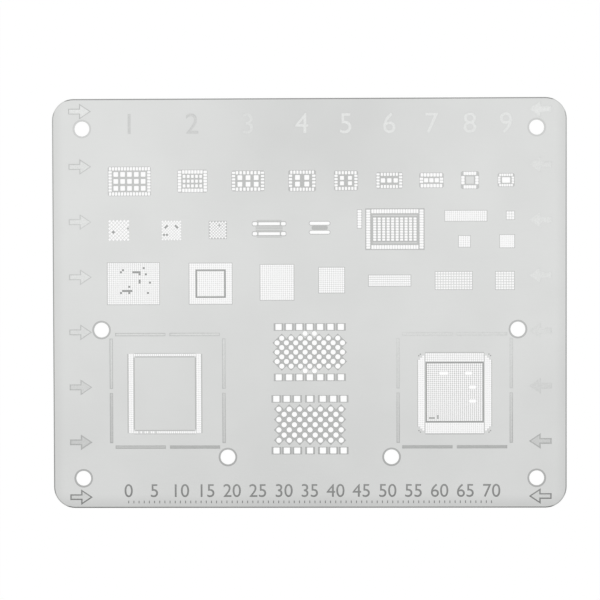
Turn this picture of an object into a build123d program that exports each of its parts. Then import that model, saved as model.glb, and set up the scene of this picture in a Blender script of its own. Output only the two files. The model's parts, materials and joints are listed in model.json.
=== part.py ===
from build123d import *
import os

# Solder paste stencil: one thin stainless steel sheet, cut through with the aperture patterns of many
# packages. The origin is the centre of the underside. +X runs along the long side, +Y across the sheet
# and +Z out of the etched face. Places on the sheet are shares of its length and width, measured from
# its centre.

# Sheet
sheet_length = 98.88
sheet_width = 78.88
sheet_thickness = 0.12
corner_radius = 4.1
etch_depth = 0.06
cut_overrun = 0.05

# Locating holes: four near the corners, two beside the processor patterns and two near the bottom edge
locating_hole_diameter = 2.8
corner_hole_inset = 5.74
side_hole_inset = 9.34
side_hole_share = -0.0639
bottom_hole_inset = 9.82
bottom_hole_spacing = 31.56

# Leadless packages in the top row: pads on four sides of a grid of thermal openings
package_row_share = 0.2986
package_shares = (-0.3496, -0.2267, -0.1187, -0.0130, 0.0718, 0.1559, 0.2380, 0.3120, 0.3822)
pad_width = 0.40
pad_length = 0.60
pad_pitch = 0.58
side_pad_pitch = 0.60
wide_pad_pitch = 0.70
fine_pad_pitch = 0.50
pad_corner_gap = 0.68
pad_corner_step = 0.12
thermal_margin = 0.42
large_thermal_side = 0.92
medium_thermal_side = 0.78
narrow_thermal_width = 0.48
narrow_thermal_height = 0.56
single_thermal_width = 1.56
single_thermal_height = 1.10

# Ball fields: each outline is the real one, and one window stands for several balls
fine_ball_pitch = 0.40
fine_ball_opening = 0.30
coarse_ball_pitch = 0.50
coarse_ball_opening = 0.40
window_web = 0.20
ring_row_count = 3
large_field_row_share = 0.0495
small_field_row_share = 0.0555
large_field_shares = (-0.3423, -0.1921, -0.0630)
small_field_shares = (0.0434, 0.1558, 0.2805, 0.3803)
upper_strip_share = 0.2122
lower_strip_share = 0.1502
upper_strip_shares = (0.3045, 0.3908)
lower_strip_shares = (0.3020, 0.3844)

# Ball fields whose lattice is turned by 45 degrees
diagonal_row_share = 0.1795
diagonal_field_shares = (-0.3707, -0.2679, -0.1775)
wide_diagonal_pitch = 0.71
tight_diagonal_pitch = 0.56
middle_diagonal_pitch = 0.59
diagonal_opening = 0.36

# Bars in the second row
bar_row_share = 0.1832
slotted_bar_share = -0.0782
slotted_bar_height = 0.64
slotted_bar_spacing = 1.92
slotted_bar_slot = 4.10
slotted_bar_end = 0.90
slotted_bar_bridge = 0.22
plain_bar_share = 0.0204
plain_bar_length = 3.86
plain_bar_height = 0.60
plain_bar_spacing = 1.73

# Memory pattern in the second row
memory_share = 0.1667
memory_row_share = 0.1806
memory_pitch = 0.50
memory_pad_width = 0.33
memory_pad_length = 0.72
memory_row_count = 18
memory_column_count = 15
memory_strip_count = 7
memory_window_pad_count = 6
memory_column_step = 0.87
memory_row_inset = 0.06
memory_strip_step = 1.68
memory_slot_pitch = 0.86
memory_slot_width = 0.54
memory_slot_count = 10
memory_slot_pad_count = 9

# Two arrays of round openings between rows of squares, down the middle of the sheet
square_side = 1.25
square_pitch = 2.0
square_count = 7
dot_diameter = 0.95
dot_side_count = 6
upper_array_share = -0.1187
upper_dot_pitch = 1.80
upper_dot_counts = (2, 7, 8, 7, 8, 7, 8, 7, 2)
upper_square_gap = 1.24
lower_array_share = -0.2962
lower_dot_pitch = 2.0
lower_dot_counts = (7, 6, 7, 6, 7, 6, 7)
lower_square_gap = 2.0
lower_square_step = 0.48

# Two processor patterns, each inside a square frame of half-etched grooves
processor_share = 0.2822
processor_row_share = -0.2194
frame_share = 0.2797
frame_row_share = -0.2130
frame_span = 21.75
groove_width = 0.65
groove_length = 9.70
groove_split = 0.80
rail_spacing = 13.07
rail_width = 0.93
rail_length = 15.27
rail_window_count = 2
rail_row_height = 0.42
band_length = 14.27
band_width = 15.49
band_chamfer = 1.25
side_band = 1.42
top_band = 1.75
bottom_band = 2.08
band_line = 0.31


def on_sheet(length_share, width_share):
    """The place at these shares of the sheet's length and width."""
    return Pos(sheet_length * length_share, sheet_width * width_share)


def grid(x_pitch, y_pitch, columns, rows, shape):
    """Copies of one opening on a grid about the origin."""
    return [spot * shape for spot in GridLocations(x_pitch, y_pitch, columns, rows)]


def moved(spot, shapes):
    """A list of openings moved to its place."""
    return [spot * shape for shape in shapes]


def span(count, pitch, opening):
    """The length of a run of openings, from the first one's edge to the last one's."""
    return (count - 1) * pitch + opening


def windows(length, width, columns, rows):
    """A field of this outline, divided by thin webs into windows."""
    x_pitch = (length + window_web) / columns
    y_pitch = (width + window_web) / rows
    window = Rectangle(x_pitch - window_web, y_pitch - window_web)
    return grid(x_pitch, y_pitch, columns, rows, window)


def fine_field(across, along, columns, rows):
    """A field of fine balls, so many across and along."""
    length = span(across, fine_ball_pitch, fine_ball_opening)
    width = span(along, fine_ball_pitch, fine_ball_opening)
    return windows(length, width, columns, rows)


def coarse_field(across, along, columns, rows):
    """A field of coarser balls, so many across and along."""
    length = span(across, coarse_ball_pitch, coarse_ball_opening)
    width = span(along, coarse_ball_pitch, coarse_ball_opening)
    return windows(length, width, columns, rows)


def ringed_field(across, along):
    """A field of fine balls whose outer rows are parted from the rest by a solid ring."""
    length = span(across, fine_ball_pitch, fine_ball_opening)
    width = span(along, fine_ball_pitch, fine_ball_opening)
    band = span(ring_row_count, fine_ball_pitch, fine_ball_opening)
    line = fine_ball_pitch
    openings = windows(length - 2 * (band + line), width - 2 * (band + line), 2, 2)
    shift = (band + window_web) / 2
    for side in (1, -1):
        upright = Rectangle(band, width - band - window_web)
        level = Rectangle(length - band - window_web, band)
        openings.append(Pos(side * (length - band) / 2, side * shift) * upright)
        openings.append(Pos(-side * shift, side * (width - band) / 2) * level)
    return openings


def diagonal_field(balls, pitch):
    """A square field with its lattice turned by 45 degrees, so its webs run corner to corner."""
    side = span(balls, pitch, diagonal_opening)
    field = Rectangle(side, side)
    for turn in (45, -45):
        field -= Rot(0, 0, turn) * Rectangle(2 * side, window_web)
    return field.faces()


def side_pads(count, pitch, joined):
    """One side's pads in line along X, or the one slot that close pads run together into."""
    if joined:
        return [Rectangle(span(count, pitch, pad_width), pad_length)]
    return grid(pitch, 0, count, 1, Rectangle(pad_width, pad_length))


def package(across, along, row_pitch, column_pitch, thermal, columns, rows, outside=False, joined=False):
    """One leadless package: rows and columns of pads round a grid of thermal openings.

    The columns stand inside the rows' ends, or outside them where the package says so.
    """
    half_row = (across - 1) * row_pitch / 2
    half_column = (along - 1) * column_pitch / 2
    if outside:
        half_row += pad_corner_gap
    else:
        half_row += pad_corner_step
        half_column += pad_corner_gap
    openings = []
    for side in (1, -1):
        openings += moved(Pos(0, side * half_column), side_pads(across, row_pitch, joined))
        openings += moved(Pos(side * half_row, 0) * Rot(0, 0, 90), side_pads(along, column_pitch, joined))
    if thermal is None:
        return openings
    x_pitch = 2 * (half_row - thermal_margin) / columns
    y_pitch = 2 * (half_column - thermal_margin) / rows
    return openings + grid(x_pitch, y_pitch, columns, rows, thermal)


def package_row():
    """The nine leadless packages of the top row, from left to right."""
    large = Rectangle(large_thermal_side, large_thermal_side)
    medium = Rectangle(medium_thermal_side, medium_thermal_side)
    narrow = Rectangle(narrow_thermal_width, narrow_thermal_height)
    single = Rectangle(single_thermal_width, single_thermal_height)
    packages = [
        package(14, 7, pad_pitch, pad_pitch, large, 5, 3),
        package(7, 7, pad_pitch, side_pad_pitch, narrow, 5, 3, outside=True),
        package(7, 6, wide_pad_pitch, side_pad_pitch, large, 3, 2, outside=True),
        package(8, 4, side_pad_pitch, side_pad_pitch, large, 2, 2),
        package(7, 4, side_pad_pitch, side_pad_pitch, medium, 2, 2),
        package(6, 5, pad_pitch, pad_pitch, medium, 3, 1, outside=True, joined=True),
        package(7, 2, side_pad_pitch, side_pad_pitch, medium, 3, 1, joined=True),
        package(5, 3, fine_pad_pitch, fine_pad_pitch, None, 0, 0, joined=True),
        package(6, 3, fine_pad_pitch, fine_pad_pitch, single, 1, 1, joined=True),
    ]
    openings = []
    for length_share, shapes in zip(package_shares, packages):
        openings += moved(on_sheet(length_share, package_row_share), shapes)
    return openings


def ball_fields():
    """The ball fields of the third row and of the right end of the second."""
    large_fields = [fine_field(25, 20, 4, 3), ringed_field(21, 20), fine_field(16, 17, 2, 2)]
    small_fields = [
        fine_field(12, 12, 2, 2),
        fine_field(20, 5, 4, 1),
        coarse_field(14, 7, 2, 2),
        coarse_field(7, 7, 2, 2),
    ]
    upper_strips = [fine_field(20, 5, 4, 1), coarse_field(3, 3, 1, 1)]
    lower_strips = [fine_field(5, 5, 1, 1), fine_field(7, 6, 1, 1)]
    rows = (
        (large_field_row_share, large_field_shares, large_fields),
        (small_field_row_share, small_field_shares, small_fields),
        (upper_strip_share, upper_strip_shares, upper_strips),
        (lower_strip_share, lower_strip_shares, lower_strips),
    )
    openings = []
    for width_share, length_shares, fields in rows:
        for length_share, field in zip(length_shares, fields):
            openings += moved(on_sheet(length_share, width_share), field)
    return openings


def diagonal_fields():
    """The three small fields of the second row."""
    fields = [
        diagonal_field(6, wide_diagonal_pitch),
        diagonal_field(7, tight_diagonal_pitch),
        diagonal_field(6, middle_diagonal_pitch),
    ]
    openings = []
    for length_share, field in zip(diagonal_field_shares, fields):
        openings += moved(on_sheet(length_share, diagonal_row_share), field)
    return openings


def bars():
    """Two slotted bars with short end openings, and two plain bars with round ends."""
    end_spacing = slotted_bar_slot + slotted_bar_end + 2 * slotted_bar_bridge
    slot = Rectangle(slotted_bar_slot, slotted_bar_height)
    end = Rectangle(slotted_bar_end, slotted_bar_height)
    plain = SlotOverall(plain_bar_length, plain_bar_height)
    slotted = grid(0, slotted_bar_spacing, 1, 2, slot) + grid(end_spacing, slotted_bar_spacing, 2, 2, end)
    openings = moved(on_sheet(slotted_bar_share, bar_row_share), slotted)
    return openings + moved(on_sheet(plain_bar_share, bar_row_share), grid(0, plain_bar_spacing, 1, 2, plain))


def pad_windows(pads, turned):
    """A run of memory pads as windows of several pads each, level or turned upright."""
    length = span(pads, memory_pitch, memory_pad_width)
    count = max(1, pads // memory_window_pad_count)
    if turned:
        return windows(memory_pad_length, length, 1, count)
    return windows(length, memory_pad_length, count, 1)


def memory_pattern():
    """A memory package: pads on four sides, a short strip beside them and slots in the middle."""
    half_row = (memory_row_count - 1) * memory_pitch / 2 + memory_column_step
    half_column = (memory_column_count - 1) * memory_pitch / 2 - memory_row_inset
    strip_drop = (memory_column_count - memory_strip_count) * memory_pitch / 2
    slot_length = span(memory_slot_pad_count, memory_pitch, memory_pad_width)
    slot = Rectangle(memory_slot_width, slot_length)
    openings = grid(memory_slot_pitch, 0, memory_slot_count, 1, slot)
    for side in (1, -1):
        openings += moved(Pos(0, side * half_column), pad_windows(memory_row_count, False))
        openings += moved(Pos(side * half_row, 0), pad_windows(memory_column_count, True))
    strip_place = Pos(-half_row - memory_strip_step, strip_drop)
    openings += moved(strip_place, pad_windows(memory_strip_count, True))
    return moved(on_sheet(memory_share, memory_row_share), openings)


def dot_rows(row_counts, pitch):
    """Rows of round openings, each row half a pitch below the last and set across it."""
    dot = RegularPolygon(dot_diameter / 2, dot_side_count, rotation=180 / dot_side_count)
    half_height = (len(row_counts) - 1) * pitch / 4
    openings = []
    for row, count in enumerate(row_counts):
        row_place = Pos(0, half_height - row * pitch / 2)
        openings += moved(row_place, grid(pitch, 0, count, 1, dot))
    return openings, half_height


def upper_array():
    """Round openings between two even rows of squares."""
    openings, half_height = dot_rows(upper_dot_counts, upper_dot_pitch)
    square = Rectangle(square_side, square_side)
    openings += grid(square_pitch, 2 * (half_height + upper_square_gap), square_count, 2, square)
    return moved(on_sheet(0, upper_array_share), openings)


def lower_array():
    """Round openings between two rows of squares, with a wider step beside each middle square."""
    openings, half_height = dot_rows(lower_dot_counts, lower_dot_pitch)
    square = Rectangle(square_side, square_side)
    row_spacing = 2 * (half_height + lower_square_gap)
    side_count = square_count // 2
    side_offset = (side_count + 1) * square_pitch / 2 + lower_square_step
    openings += grid(0, row_spacing, 1, 2, square)
    for side in (1, -1):
        side_squares = grid(square_pitch, row_spacing, side_count, 2, square)
        openings += moved(Pos(side * side_offset, 0), side_squares)
    return moved(on_sheet(0, lower_array_share), openings)


def railed_processor():
    """Two tall rails of openings, joined by a thin row at each end."""
    openings = []
    row_length = rail_spacing - rail_width - 2 * window_web
    row_spacing = rail_length - rail_row_height
    for side in (1, -1):
        rail = windows(rail_width, rail_length, 1, rail_window_count)
        openings += moved(Pos(side * rail_spacing / 2, 0), rail)
        row = windows(row_length, rail_row_height, 2, 1)
        openings += moved(Pos(0, side * row_spacing / 2), row)
    return moved(on_sheet(-processor_share, processor_row_share), openings)


def banded_processor():
    """A broad band of openings with cut corners, round a field inside a solid line."""
    inner_length = band_length - 2 * (side_band + band_line)
    inner_width = band_width - top_band - bottom_band - 2 * band_line
    inner_place = Pos(0, (bottom_band - top_band) / 2)
    outline = Rectangle(band_length, band_width)
    band = chamfer(outline.vertices(), band_chamfer)
    band -= inner_place * Rectangle(inner_length + 2 * band_line, inner_width + 2 * band_line)
    for side in (1, -1):
        band -= Pos(side * (inner_length + band_line) / 2, 0) * Rectangle(band_line, band_width)
    band -= Rectangle(band_length, window_web)
    band -= Rectangle(window_web, band_width)
    field = moved(inner_place, windows(inner_length, inner_width, 3, 3))
    return moved(on_sheet(processor_share, processor_row_share), band.faces() + field)


def groove_frame():
    """A square frame of grooves, two in line on each side."""
    step = groove_length + groove_split
    level = Rectangle(groove_length, groove_width)
    upright = Rectangle(groove_width, groove_length)
    return grid(step, frame_span, 2, 2, level) + grid(frame_span, step, 2, 2, upright)


def locating_holes():
    """The round locating holes, in mirrored pairs."""
    hole = Circle(locating_hole_diameter / 2)
    corner_x = sheet_length - 2 * corner_hole_inset
    corner_y = sheet_width - 2 * corner_hole_inset
    side_x = sheet_length - 2 * side_hole_inset
    bottom_y = bottom_hole_inset - sheet_width / 2
    holes = grid(corner_x, corner_y, 2, 2, hole)
    holes += moved(on_sheet(0, side_hole_share), grid(side_x, 0, 2, 1, hole))
    return holes + moved(Pos(0, bottom_y), grid(bottom_hole_spacing, 0, 2, 1, hole))


def stencil_sheet():
    """The whole sheet, with every opening cut through and the grooves etched half way."""
    openings = package_row() + ball_fields() + diagonal_fields() + bars() + memory_pattern()
    openings += upper_array() + lower_array() + railed_processor() + banded_processor()
    openings += locating_holes()
    outline = RectangleRounded(sheet_length, sheet_width, corner_radius)
    sheet = extrude(outline - openings, sheet_thickness)
    grooves = []
    for side in (1, -1):
        grooves += moved(on_sheet(side * frame_share, frame_row_share), groove_frame())
    recess = extrude(Sketch() + grooves, etch_depth + cut_overrun)
    return sheet - Pos(0, 0, sheet_thickness - etch_depth) * recess


os.makedirs("parts", exist_ok=True)
export_step(stencil_sheet(), "parts/stencil_sheet.step")
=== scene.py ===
import itertools
import json
import math

import bmesh
import bpy
from mathutils import Euler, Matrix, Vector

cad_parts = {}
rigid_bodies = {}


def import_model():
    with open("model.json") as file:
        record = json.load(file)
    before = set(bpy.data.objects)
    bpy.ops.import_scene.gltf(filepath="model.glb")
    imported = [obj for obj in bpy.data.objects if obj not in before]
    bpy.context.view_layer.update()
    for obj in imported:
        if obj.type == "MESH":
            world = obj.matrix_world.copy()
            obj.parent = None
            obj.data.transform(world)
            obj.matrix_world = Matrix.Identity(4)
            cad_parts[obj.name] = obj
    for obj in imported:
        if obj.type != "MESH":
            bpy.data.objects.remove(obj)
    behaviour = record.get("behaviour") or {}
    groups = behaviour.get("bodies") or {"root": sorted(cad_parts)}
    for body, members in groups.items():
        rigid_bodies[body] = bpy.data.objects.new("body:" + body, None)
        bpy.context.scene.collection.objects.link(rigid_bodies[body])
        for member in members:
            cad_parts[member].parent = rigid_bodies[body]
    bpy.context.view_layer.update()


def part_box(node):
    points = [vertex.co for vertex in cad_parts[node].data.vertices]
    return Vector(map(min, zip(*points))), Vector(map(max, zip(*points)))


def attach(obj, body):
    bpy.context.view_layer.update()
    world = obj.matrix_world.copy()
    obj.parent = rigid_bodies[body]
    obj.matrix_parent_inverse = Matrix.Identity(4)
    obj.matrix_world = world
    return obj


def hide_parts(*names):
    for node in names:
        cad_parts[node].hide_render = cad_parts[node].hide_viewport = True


bl_info = {
    "name": "Solder paste stencil",
    "version": (1, 0, 0),
    "blender": (4, 5, 0),
    "location": "View3D > Sidebar > Stencil",
    "description": "Builds a thin steel stencil with its openings, etched marks and finishes",
    "category": "Object",
}

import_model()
SHEET_NODE = "stencil_sheet"
sheet_low, sheet_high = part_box(SHEET_NODE)
MM = 0.001

# What a line on the sheet bounds: an opening with tinted steel round it, that tinted steel, an etched
# mark, an opening with plain steel round it, a field of such openings, a dark patch inside a field,
# a pale etched mark, or the pale middle of an etched mark. The tinted steel also draws painted shade
# beside some patterns, and on the arrows and grooves the pale marks and middles are painted light.
RIMMED = 0
RIM = 1
ETCHED = 2
PLAIN = 3
FIELD = 4
RING = 5
PALE = 6
INNER = 7

# Faces of the sheet, by the finish that they take.
SHEET_FACE = 0
RIM_FACE = 1
WALL_FACE = 2
ETCHED_FACE = 3
PALE_FACE = 4

# Whole numbers match when they differ by less than this, and an outline with more sides than the next
# one is a polygon. Then, in millimetres, the least rim or corner that counts, the distance within which
# points merge, and the step along a number's outline.
MATCH_WITHIN = 0.5
BOX_SIDES = 2.5
LEAST_SIZE = 0.0001
MERGE_WITHIN = 0.0005
NUMBER_STEP = 0.12

LINES_GROUP = "stencil_lines"
PLATE_NAME = "stencil_plate"
MARK_NAMES = ("thin_arrow", "bold_arrow", "faint_arrow")


def linear(hex_colour):
    """An sRGB hex colour as linear red, green and blue."""
    parts = [int(hex_colour[i : i + 2], 16) / 255 for i in (0, 2, 4)]
    return tuple(p / 12.92 if p <= 0.04045 else ((p + 0.055) / 1.055) ** 2.4 for p in parts)


def add(tree, kind, inputs=None, **settings):
    """Adds a node with its settings, and sets or links its inputs. A list links several to one input."""
    node = tree.nodes.new(kind)
    for name, value in settings.items():
        setattr(node, name, value)
    for key, value in (inputs or {}).items():
        for one in value if isinstance(value, list) else [value]:
            if isinstance(one, bpy.types.NodeSocket):
                tree.links.new(one, node.inputs[key])
            else:
                node.inputs[key].default_value = one
    return node


def geometry_tree(name, sockets):
    """A new Geometry Nodes tree with named inputs, and its input sockets."""
    tree = bpy.data.node_groups.new(name, "GeometryNodeTree")
    for label, kind, default in sockets:
        socket = tree.interface.new_socket(label, in_out="INPUT", socket_type="NodeSocket" + kind)
        if default is not None:
            socket.default_value = default
    tree.interface.new_socket("Geometry", in_out="OUTPUT", socket_type="NodeSocketGeometry")
    return tree, tree.nodes.new("NodeGroupInput").outputs


def use_tree(obj, tree_name, values):
    """Adds a Geometry Nodes modifier and sets its inputs by their identifiers."""
    modifier = obj.modifiers.new(tree_name, "NODES")
    modifier.node_group = bpy.data.node_groups[tree_name]
    for item in modifier.node_group.interface.items_tree:
        if item.item_type == "SOCKET" and item.in_out == "INPUT" and item.name in values:
            modifier[item.identifier] = values[item.name]


class SheetSizes(bpy.types.PropertyGroup):
    """Sizes of the sheet itself."""

    length: bpy.props.FloatProperty(
        name="Length", description="Long side of the sheet", default=sheet_high.x - sheet_low.x, unit="LENGTH"
    )
    width: bpy.props.FloatProperty(
        name="Width", description="Short side of the sheet", default=sheet_high.y - sheet_low.y, unit="LENGTH"
    )
    thickness: bpy.props.FloatProperty(
        name="Thickness",
        description="Thickness of the steel",
        default=sheet_high.z - sheet_low.z,
        unit="LENGTH",
    )
    corner_radius: bpy.props.FloatProperty(
        name="Corner radius", description="Radius of the four corners", default=0.0041, unit="LENGTH"
    )
    etch_depth: bpy.props.FloatProperty(
        name="Etch depth", description="Depth of the etched marks", default=0.00006, unit="LENGTH"
    )
    edge_rim: bpy.props.FloatProperty(
        name="Edge rim",
        description="Width of the tinted line along the cut edges",
        default=0.00020,
        unit="LENGTH",
    )
    hole_diameter: bpy.props.FloatProperty(
        name="Hole diameter", description="Diameter of the locating holes", default=0.00288, unit="LENGTH"
    )


class OpeningSizes(bpy.types.PropertyGroup):
    """Sizes of the openings."""

    pad_width: bpy.props.FloatProperty(
        name="Pad width", description="Most that a package pad is wide", default=0.00052, unit="LENGTH"
    )
    pad_length: bpy.props.FloatProperty(
        name="Pad length", description="Length of a package pad", default=0.00064, unit="LENGTH"
    )
    fine_ball: bpy.props.FloatProperty(
        name="Fine ball", description="Side of an opening for a fine ball", default=0.000353, unit="LENGTH"
    )
    dot: bpy.props.FloatProperty(
        name="Dot", description="Diameter of a round opening", default=0.000985, unit="LENGTH"
    )
    square: bpy.props.FloatProperty(
        name="Square", description="Side of a large square opening", default=0.00119, unit="LENGTH"
    )


class Finishes(bpy.types.PropertyGroup):
    """Colours of the steel's finishes."""

    sheet: bpy.props.FloatVectorProperty(
        name="Sheet",
        description="Rolled steel",
        subtype="COLOR",
        default=linear("DCDDDC"),
        min=0,
        max=1,
    )
    # The rim colour also draws the painted shade beside the ball fields, rails, rows, bars and squares.
    rim: bpy.props.FloatVectorProperty(
        name="Rim",
        description="Steel tinted by the laser",
        subtype="COLOR",
        default=linear("C1C2C1"),
        min=0,
        max=1,
    )
    wall: bpy.props.FloatVectorProperty(
        name="Cut wall",
        description="Laser cut edge",
        subtype="COLOR",
        default=linear("A8A9A8"),
        min=0,
        max=1,
    )
    etched: bpy.props.FloatVectorProperty(
        name="Etched mark",
        description="Etched steel",
        subtype="COLOR",
        default=linear("A2A3A2"),
        min=0,
        max=1,
    )
    # The pale colour is painted light on the faint arrows and on the middles of the grooves and arrows.
    pale: bpy.props.FloatVectorProperty(
        name="Pale mark",
        description="Lightly etched steel",
        subtype="COLOR",
        default=linear("D6D7D6"),
        min=0,
        max=1,
    )
    floor: bpy.props.FloatVectorProperty(
        name="Floor",
        description="White ground",
        subtype="COLOR",
        default=linear("FFFFFF"),
        min=0,
        max=1,
    )


def outline_tree():
    """One opening's outline: a rectangle, a rectangle with cut or round corners, or a circle."""
    tree, given = geometry_tree(
        "Opening outline",
        (
            ("Width", "Float", 1.0),
            ("Height", "Float", 1.0),
            ("Corner radius", "Float", 0.0),
            ("Corner points", "Int", 1),
            ("Sides", "Int", 0),
        ),
    )
    box = add(
        tree,
        "GeometryNodeCurvePrimitiveQuadrilateral",
        {"Width": given["Width"], "Height": given["Height"]},
        mode="RECTANGLE",
    )
    soft = add(
        tree,
        "GeometryNodeFilletCurve",
        {"Curve": box.outputs[0], "Count": given["Corner points"], "Radius": given["Corner radius"]},
        mode="POLY",
    )
    has_corner = add(
        tree,
        "ShaderNodeMath",
        {0: given["Corner radius"], 1: LEAST_SIZE},
        operation="GREATER_THAN",
    )
    square = add(
        tree,
        "GeometryNodeSwitch",
        {"Switch": has_corner.outputs[0], "False": box.outputs[0], "True": soft.outputs[0]},
        input_type="GEOMETRY",
    )
    radius = add(tree, "ShaderNodeMath", {0: given["Width"], 1: 0.5}, operation="MULTIPLY")
    circle = add(
        tree,
        "GeometryNodeCurvePrimitiveCircle",
        {"Resolution": given["Sides"], "Radius": radius.outputs[0]},
        mode="RADIUS",
    )
    is_round = add(tree, "ShaderNodeMath", {0: given["Sides"], 1: BOX_SIDES}, operation="GREATER_THAN")
    chosen = add(
        tree,
        "GeometryNodeSwitch",
        {"Switch": is_round.outputs[0], "False": square.outputs[0], "True": circle.outputs[0]},
        input_type="GEOMETRY",
    )
    line = add(tree, "GeometryNodeCurveToMesh", {"Curve": chosen.outputs[0]})
    add(tree, "NodeGroupOutput", {0: line.outputs[0]})


def grid_tree():
    """Copies of one outline on a grid, with a rim line round each where there is a rim."""
    tree, given = geometry_tree(
        "Opening grid",
        (
            ("Geometry", "Geometry", None),
            ("Place", "Vector", None),
            ("Turn", "Float", 0.0),
            ("Columns", "Int", 1),
            ("Rows", "Int", 1),
            ("Column pitch", "Float", 1.0),
            ("Row pitch", "Float", 1.0),
            ("Narrow rows", "Int", 0),
            ("Width", "Float", 1.0),
            ("Height", "Float", 1.0),
            ("Corner radius", "Float", 0.0),
            ("Corner points", "Int", 1),
            ("Sides", "Int", 0),
            ("Rim", "Float", 0.0),
            ("Line", "Int", PLAIN),
            ("Group", "Int", 0),
        ),
    )
    columns, rows = given["Columns"], given["Rows"]
    total = add(tree, "ShaderNodeMath", {0: columns, 1: rows}, operation="MULTIPLY")
    index = add(tree, "GeometryNodeInputIndex").outputs[0]
    column = add(tree, "ShaderNodeMath", {0: index, 1: columns}, operation="MODULO").outputs[0]
    share = add(tree, "ShaderNodeMath", {0: index, 1: columns}, operation="DIVIDE")
    row = add(tree, "ShaderNodeMath", {0: share.outputs[0]}, operation="FLOOR").outputs[0]
    # Narrow rows are the even ones for 1 and the odd ones for 2. They hold one opening less.
    row_sum = add(tree, "ShaderNodeMath", {0: row, 1: given["Narrow rows"]}, operation="ADD")
    parity = add(tree, "ShaderNodeMath", {0: row_sum.outputs[0], 1: 2.0}, operation="MODULO")
    wanted = add(tree, "ShaderNodeMath", {0: given["Narrow rows"], 1: 1.0}, operation="MINIMUM")
    narrow = add(tree, "ShaderNodeMath", {0: parity.outputs[0], 1: wanted.outputs[0]}, operation="MULTIPLY")
    last = add(tree, "ShaderNodeMath", {0: columns, 1: 1.0}, operation="SUBTRACT")
    steps = add(tree, "ShaderNodeMath", {0: last.outputs[0], 1: narrow.outputs[0]}, operation="SUBTRACT")
    half_steps = add(tree, "ShaderNodeMath", {0: steps.outputs[0], 1: 0.5}, operation="MULTIPLY")
    from_middle = add(tree, "ShaderNodeMath", {0: column, 1: half_steps.outputs[0]}, operation="SUBTRACT")
    x = add(
        tree,
        "ShaderNodeMath",
        {0: from_middle.outputs[0], 1: given["Column pitch"]},
        operation="MULTIPLY",
    )
    last_row = add(tree, "ShaderNodeMath", {0: rows, 1: 1.0}, operation="SUBTRACT")
    half_rows = add(tree, "ShaderNodeMath", {0: last_row.outputs[0], 1: 0.5}, operation="MULTIPLY")
    row_offset = add(tree, "ShaderNodeMath", {0: row, 1: half_rows.outputs[0]}, operation="SUBTRACT")
    y = add(tree, "ShaderNodeMath", {0: row_offset.outputs[0], 1: given["Row pitch"]}, operation="MULTIPLY")
    spot = add(tree, "ShaderNodeCombineXYZ", {"X": x.outputs[0], "Y": y.outputs[0]})
    points = add(tree, "GeometryNodePoints", {"Count": total.outputs[0], "Position": spot.outputs[0]})
    at_end = add(tree, "ShaderNodeMath", {0: column, 1: last.outputs[0]}, operation="COMPARE")
    at_end.inputs[2].default_value = MATCH_WITHIN
    spare = add(tree, "ShaderNodeMath", {0: at_end.outputs[0], 1: narrow.outputs[0]}, operation="MULTIPLY")
    kept = add(
        tree,
        "GeometryNodeDeleteGeometry",
        {"Geometry": points.outputs[0], "Selection": spare.outputs[0]},
        domain="POINT",
    )
    double_rim = add(tree, "ShaderNodeMath", {0: given["Rim"], 1: 2.0}, operation="MULTIPLY")
    has_rim = add(tree, "ShaderNodeMath", {0: given["Rim"], 1: LEAST_SIZE}, operation="GREATER_THAN")
    has_corner = add(
        tree,
        "ShaderNodeMath",
        {0: given["Corner radius"], 1: LEAST_SIZE},
        operation="GREATER_THAN",
    )
    corner_rim = add(
        tree,
        "ShaderNodeMath",
        {0: given["Rim"], 1: has_corner.outputs[0]},
        operation="MULTIPLY",
    )
    no_rim = add(tree, "ShaderNodeMath", {0: 1.0, 1: has_rim.outputs[0]}, operation="SUBTRACT")
    lines = []
    for grow in (False, True):
        sizes = [given["Width"], given["Height"], given["Corner radius"]]
        if grow:
            added = [double_rim, double_rim, corner_rim]
            sizes = [
                add(tree, "ShaderNodeMath", {0: size, 1: extra.outputs[0]}, operation="ADD").outputs[0]
                for size, extra in zip(sizes, added)
            ]
        outline = add(tree, "GeometryNodeGroup", node_tree=bpy.data.node_groups["Opening outline"])
        for name, source in zip(("Width", "Height", "Corner radius"), sizes):
            tree.links.new(source, outline.inputs[name])
        for name in ("Corner points", "Sides"):
            tree.links.new(given[name], outline.inputs[name])
        copies = add(
            tree,
            "GeometryNodeInstanceOnPoints",
            {"Points": kept.outputs[0], "Instance": outline.outputs[0]},
        )
        plain = add(tree, "GeometryNodeRealizeInstances", {"Geometry": copies.outputs[0]})
        if grow:
            plain = add(
                tree,
                "GeometryNodeDeleteGeometry",
                {"Geometry": plain.outputs[0], "Selection": no_rim.outputs[0]},
                domain="POINT",
            )
        named = add(
            tree,
            "GeometryNodeStoreNamedAttribute",
            {
                "Geometry": plain.outputs[0],
                "Name": "line",
                "Value": RIM if grow else given["Line"],
            },
            data_type="INT",
            domain="POINT",
        )
        lines.append(named.outputs[0])
    both = add(tree, "GeometryNodeJoinGeometry", {0: lines})
    both = add(
        tree,
        "GeometryNodeStoreNamedAttribute",
        {"Geometry": both.outputs[0], "Name": "group", "Value": given["Group"]},
        data_type="INT",
        domain="POINT",
    )
    turn = add(tree, "ShaderNodeCombineXYZ", {"Z": given["Turn"]})
    placed = add(
        tree,
        "GeometryNodeTransform",
        {"Geometry": both.outputs[0], "Translation": given["Place"], "Rotation": turn.outputs[0]},
    )
    out = add(tree, "GeometryNodeJoinGeometry", {0: [given["Geometry"], placed.outputs[0]]})
    add(tree, "NodeGroupOutput", {0: out.outputs[0]})


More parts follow.
